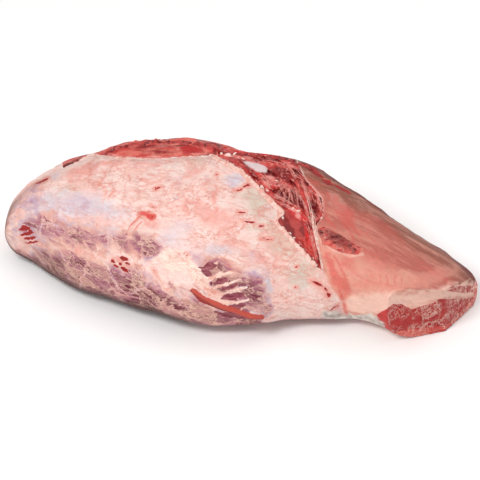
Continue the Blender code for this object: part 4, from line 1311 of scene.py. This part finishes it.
# The torn edge: the thick membrane was pulled away over the hollow, and its edge curls up in a
# ragged, frayed lip with short tongues of skin hanging over the raw meat.
LIP_BACK = 7.0
LIP_STEPS = 240
LIP_THICK = 0.0009
lip_skin = tissue("torn_membrane", srgb(244, 204, 192), srgb(226, 160, 146), 170.0, 0.45)
shape = bmesh.new()
edge_path = smooth_path(TORN_EDGE, LIP_STEPS)
rows = []
for i, (x, y) in enumerate(edge_path):
    ahead = edge_path[min(i + 1, LIP_STEPS - 1)] - edge_path[max(i - 1, 0)]
    ahead = ahead / np.hypot(*ahead)
    inward = np.array((-ahead[1], ahead[0]))
    tongue = 1.8 * noise.noise(Vector((i * 0.11, 3.7, 0.0))) + 1.3 * noise.noise(Vector((i * 0.43, 9.1, 0.0)))
    reach = 1.1 + 1.5 * tongue
    curl = 0.0006 + 0.0006 * max(0.0, noise.noise(Vector((i * 0.17, 21.0, 0.0))))
    row = []
    steps = (
        (-LIP_BACK, -0.0006), (-3.6, 0.0001), (-1.2, 0.0006), (reach * 0.4, 0.0009 + curl), (reach, 0.0004),
    )
    for back, lift in steps:
        place = on_face_at(x + inward[0] * back, y + inward[1] * back)
        base = on_face_at(x - inward[0] * 2.0, y - inward[1] * 2.0)
        if back > -1.0 and place is not None and base is not None:
            height = (base - place).dot(Vector(FACE_OUT))
            place = place + Vector(FACE_OUT) * height * (0.9 if back < reach else 0.75)
        row.append(place + Vector(FACE_OUT) * lift)
    rows.append([shape.verts.new(place) for place in row])
for first, second in zip(rows, rows[1:]):
    for k in range(len(first) - 1):
        shape.faces.new((first[k], first[k + 1], second[k + 1], second[k]))
lip = finish_piece(shape, "torn_membrane_lip", lip_skin)
thicken = lip.modifiers.new("thickness", "SOLIDIFY")
thicken.thickness = LIP_THICK
thicken.offset = -1.0

# Strands: thin threads of connective tissue, three to a bunch, still stretched over the hollow
# between the torn edge and the second lobe where the membrane was pulled away.
STRAND_STEPS = 17
strand_pink = tissue("connective_strands", srgb(236, 164, 152), srgb(206, 96, 90), 200.0, 0.40)
shape = bmesh.new()
chance = np.random.default_rng(23)
STRANDS = (
    ((24, 102), (40, 100), (52, 95), (61, 91), (66, 84)), ((34, 81), (53, 73), (73, 61)),
    ((61, 93), (69, 83), (77, 63), (82, 45)), ((81, 89), (90, 79), (95, 63), (97, 51)),
    ((53, 89), (50, 71)), ((59, 90), (63, 73)), ((66, 91), (69, 74)), ((44, 99), (47, 88), (40, 78)),
    ((24, 109), (31, 101), (34, 92)), ((62, 112), (70, 103), (80, 98)), ((70, 98), (82, 84), (86, 70)),
    ((52, 118), (60, 108), (62, 99)), ((-20, 130), (-4, 127), (12, 125)), ((30, 124), (46, 120), (58, 112)),
    ((84, 62), (91, 52)), ((76, 52), (84, 26), (89, 6)),
)
for line in STRANDS:
    for _ in range(3):
        shove = 1.3 * chance.normal(size=2)
        thickness = 0.00022 + 0.00040 * chance.random()
        sag = 0.0006 + 0.0008 * chance.random()
        path = smooth_path(line, STRAND_STEPS) + shove
        cord, radii = [], []
        for k, (x, y) in enumerate(path):
            arch = math.sin(math.pi * k / (STRAND_STEPS - 1))
            place = on_face_at(x + 0.25 * chance.normal(), y + 0.25 * chance.normal(), sag * arch + 0.0001)
            if place is not None:
                cord.append(place)
                radii.append(thickness * (0.4 + 0.8 * arch))
        if len(cord) > 3:
            add_tube(shape, cord, radii, 5)
finish_piece(shape, "connective_strands", strand_pink)

# Trim: scraps of red muscle and torn skin that the knife left standing along the far rim, where the
# neighbouring muscles were cut and pulled away.
FAR_RIM_LINE = (
    (-150, 141), (-120, 146), (-90, 149), (-60, 148), (-42, 145), (-30, 140), (-14, 134), (0, 133),
    (26, 132), (52, 128), (70, 123), (90, 113),
)
RIM_STEPS = 52
RIM_GAPS = 0.3  # share of the steps with no scrap
trim_red = tissue("red_trim", srgb(186, 66, 62), srgb(112, 28, 30), 170.0, 0.42)
shape = bmesh.new()
chance = np.random.default_rng(41)
rim_path = smooth_path(FAR_RIM_LINE, RIM_STEPS)
for i, (x, y) in enumerate(rim_path):
    if chance.random() < RIM_GAPS:
        continue
    place = None
    sunk_by = 2.2 + 3.0 * chance.random()
    while place is None and sunk_by < 12.0:
        place = on_face_at(x + 0.5 * chance.normal(), y - sunk_by, -0.0012)
        sunk_by += 1.0
    ahead = rim_path[min(i + 1, RIM_STEPS - 1)] - rim_path[max(i - 1, 0)]
    turn = math.atan2(ahead[1], ahead[0]) + 0.12 * chance.normal()
    half_length = 3.0 + 4.5 * chance.random()
    half_width = 1.8 + 1.6 * chance.random()
    if place is not None:
        add_lump(shape, place, turn, half_length, half_width, 0.6, 0.45, 1.9, i * 3.1)
finish_piece(shape, "rim_trim", trim_red)

# Nodules: small lumps of hard white fat along the tear and in the torn valley. They are the meat's
# own fat, left where the membrane was cut away, and each still holds to the tissue under it.
NODULES = (
    (-16, 129, 4.6, 3.0), (-8, 131, 3.0, 2.2), (-24, 131, 2.6, 1.8), (24, 91, 2.8, 2.0), (30, 87, 1.8, 1.3),
    (66, 63, 3.0, 1.8), (60, 66, 2.0, 1.2), (48, 55, 1.6, 1.2), (56, 37, 2.2, 1.4), (61, 32, 1.4, 1.1),
    (93, 55, 1.4, 1.0), (88, 30, 1.6, 1.2), (83, 8, 1.4, 1.0), (2, 125, 2.0, 1.4), (41, 99, 1.6, 1.2),
)
hard_fat = tissue("hard_white_fat", srgb(250, 228, 218), srgb(238, 190, 178), 260.0, 0.45)
shape = bmesh.new()
for i, (x, y, half_length, half_width) in enumerate(NODULES):
    place = on_face_at(x, y, 0.0003)
    if place is not None:
        add_lump(shape, place, 0.7 * i, half_length, half_width, 0.55, 0.32, 1.6, i * 5.3)
finish_piece(shape, "fat_nodules", hard_fat)

# The plain white table that the cut lies on. It is there for the light and the shadow, and isn't
# part of the meat.
TABLE_HALF = 4.0
TABLE_GAP = 0.0006  # metres below the meat, so that the two never flicker
TABLE_WHITE = srgb(253, 253, 252)
bpy.ops.mesh.primitive_plane_add(size=2 * TABLE_HALF, location=(0.0, 0.0, -TABLE_GAP))
table = bpy.context.object
table.name = "white_table"
laminate = bpy.data.materials.new("white_laminate")
laminate.use_nodes = True
laminate_shader = laminate.node_tree.nodes["Principled BSDF"]
laminate_shader.inputs["Base Color"].default_value = TABLE_WHITE
laminate_shader.inputs["Roughness"].default_value = 0.6
table.data.materials.append(laminate)

# Soft studio light: an even white surround, a broad lamp over the near left and a weaker one on
# the far right, both aimed at the meat.
SURROUND = 0.69
LAMP_AIM = Vector((0.0, 0.0, 0.05))


def soft_lamp(name, place, size, power):
    lamp = bpy.data.lights.new(name, "AREA")
    lamp.shape = "SQUARE"
    lamp.size = size
    lamp.energy = power
    holder = bpy.data.objects.new(name, lamp)
    bpy.context.scene.collection.objects.link(holder)
    holder.location = place
    holder.rotation_euler = (LAMP_AIM - Vector(place)).to_track_quat("-Z", "Y").to_euler()


soft_lamp("lamp_near_left", (-0.8, -0.9, 1.6), 0.6, 18.5)
soft_lamp("lamp_right", (1.2, 0.5, 1.4), 1.0, 5.5)
surround = bpy.data.worlds.new("surround")
surround.use_nodes = True
surround.node_tree.nodes["Background"].inputs["Color"].default_value = (1.0, 1.0, 1.0, 1.0)
surround.node_tree.nodes["Background"].inputs["Strength"].default_value = SURROUND
bpy.context.scene.world = surround
bpy.context.scene.view_settings.view_transform = "Standard"

# The camera stands off at the near side with a long lens, and looks down square onto the leaning
# face.
LENS = 300.0
SENSOR = 36.0
FRAME_WIDTH = 0.567
AIM_ACROSS = -0.0018
AIM_UP = 0.0295
AIM_OUT = 0.04
eye = bpy.data.cameras.new("camera")
eye.lens = LENS
eye.sensor_width = SENSOR
eye.clip_end = 50.0
camera = bpy.data.objects.new("camera", eye)
bpy.context.scene.collection.objects.link(camera)
aim = Vector((AIM_ACROSS, 0.0, -table_height)) + AIM_UP * Vector(FACE_UP) + AIM_OUT * Vector(FACE_OUT)
camera.location = aim + Vector(FACE_OUT) * FRAME_WIDTH * LENS / SENSOR
camera.rotation_euler = (math.radians(90.0) - FACE_TILT, 0.0, 0.0)
bpy.context.scene.camera = camera
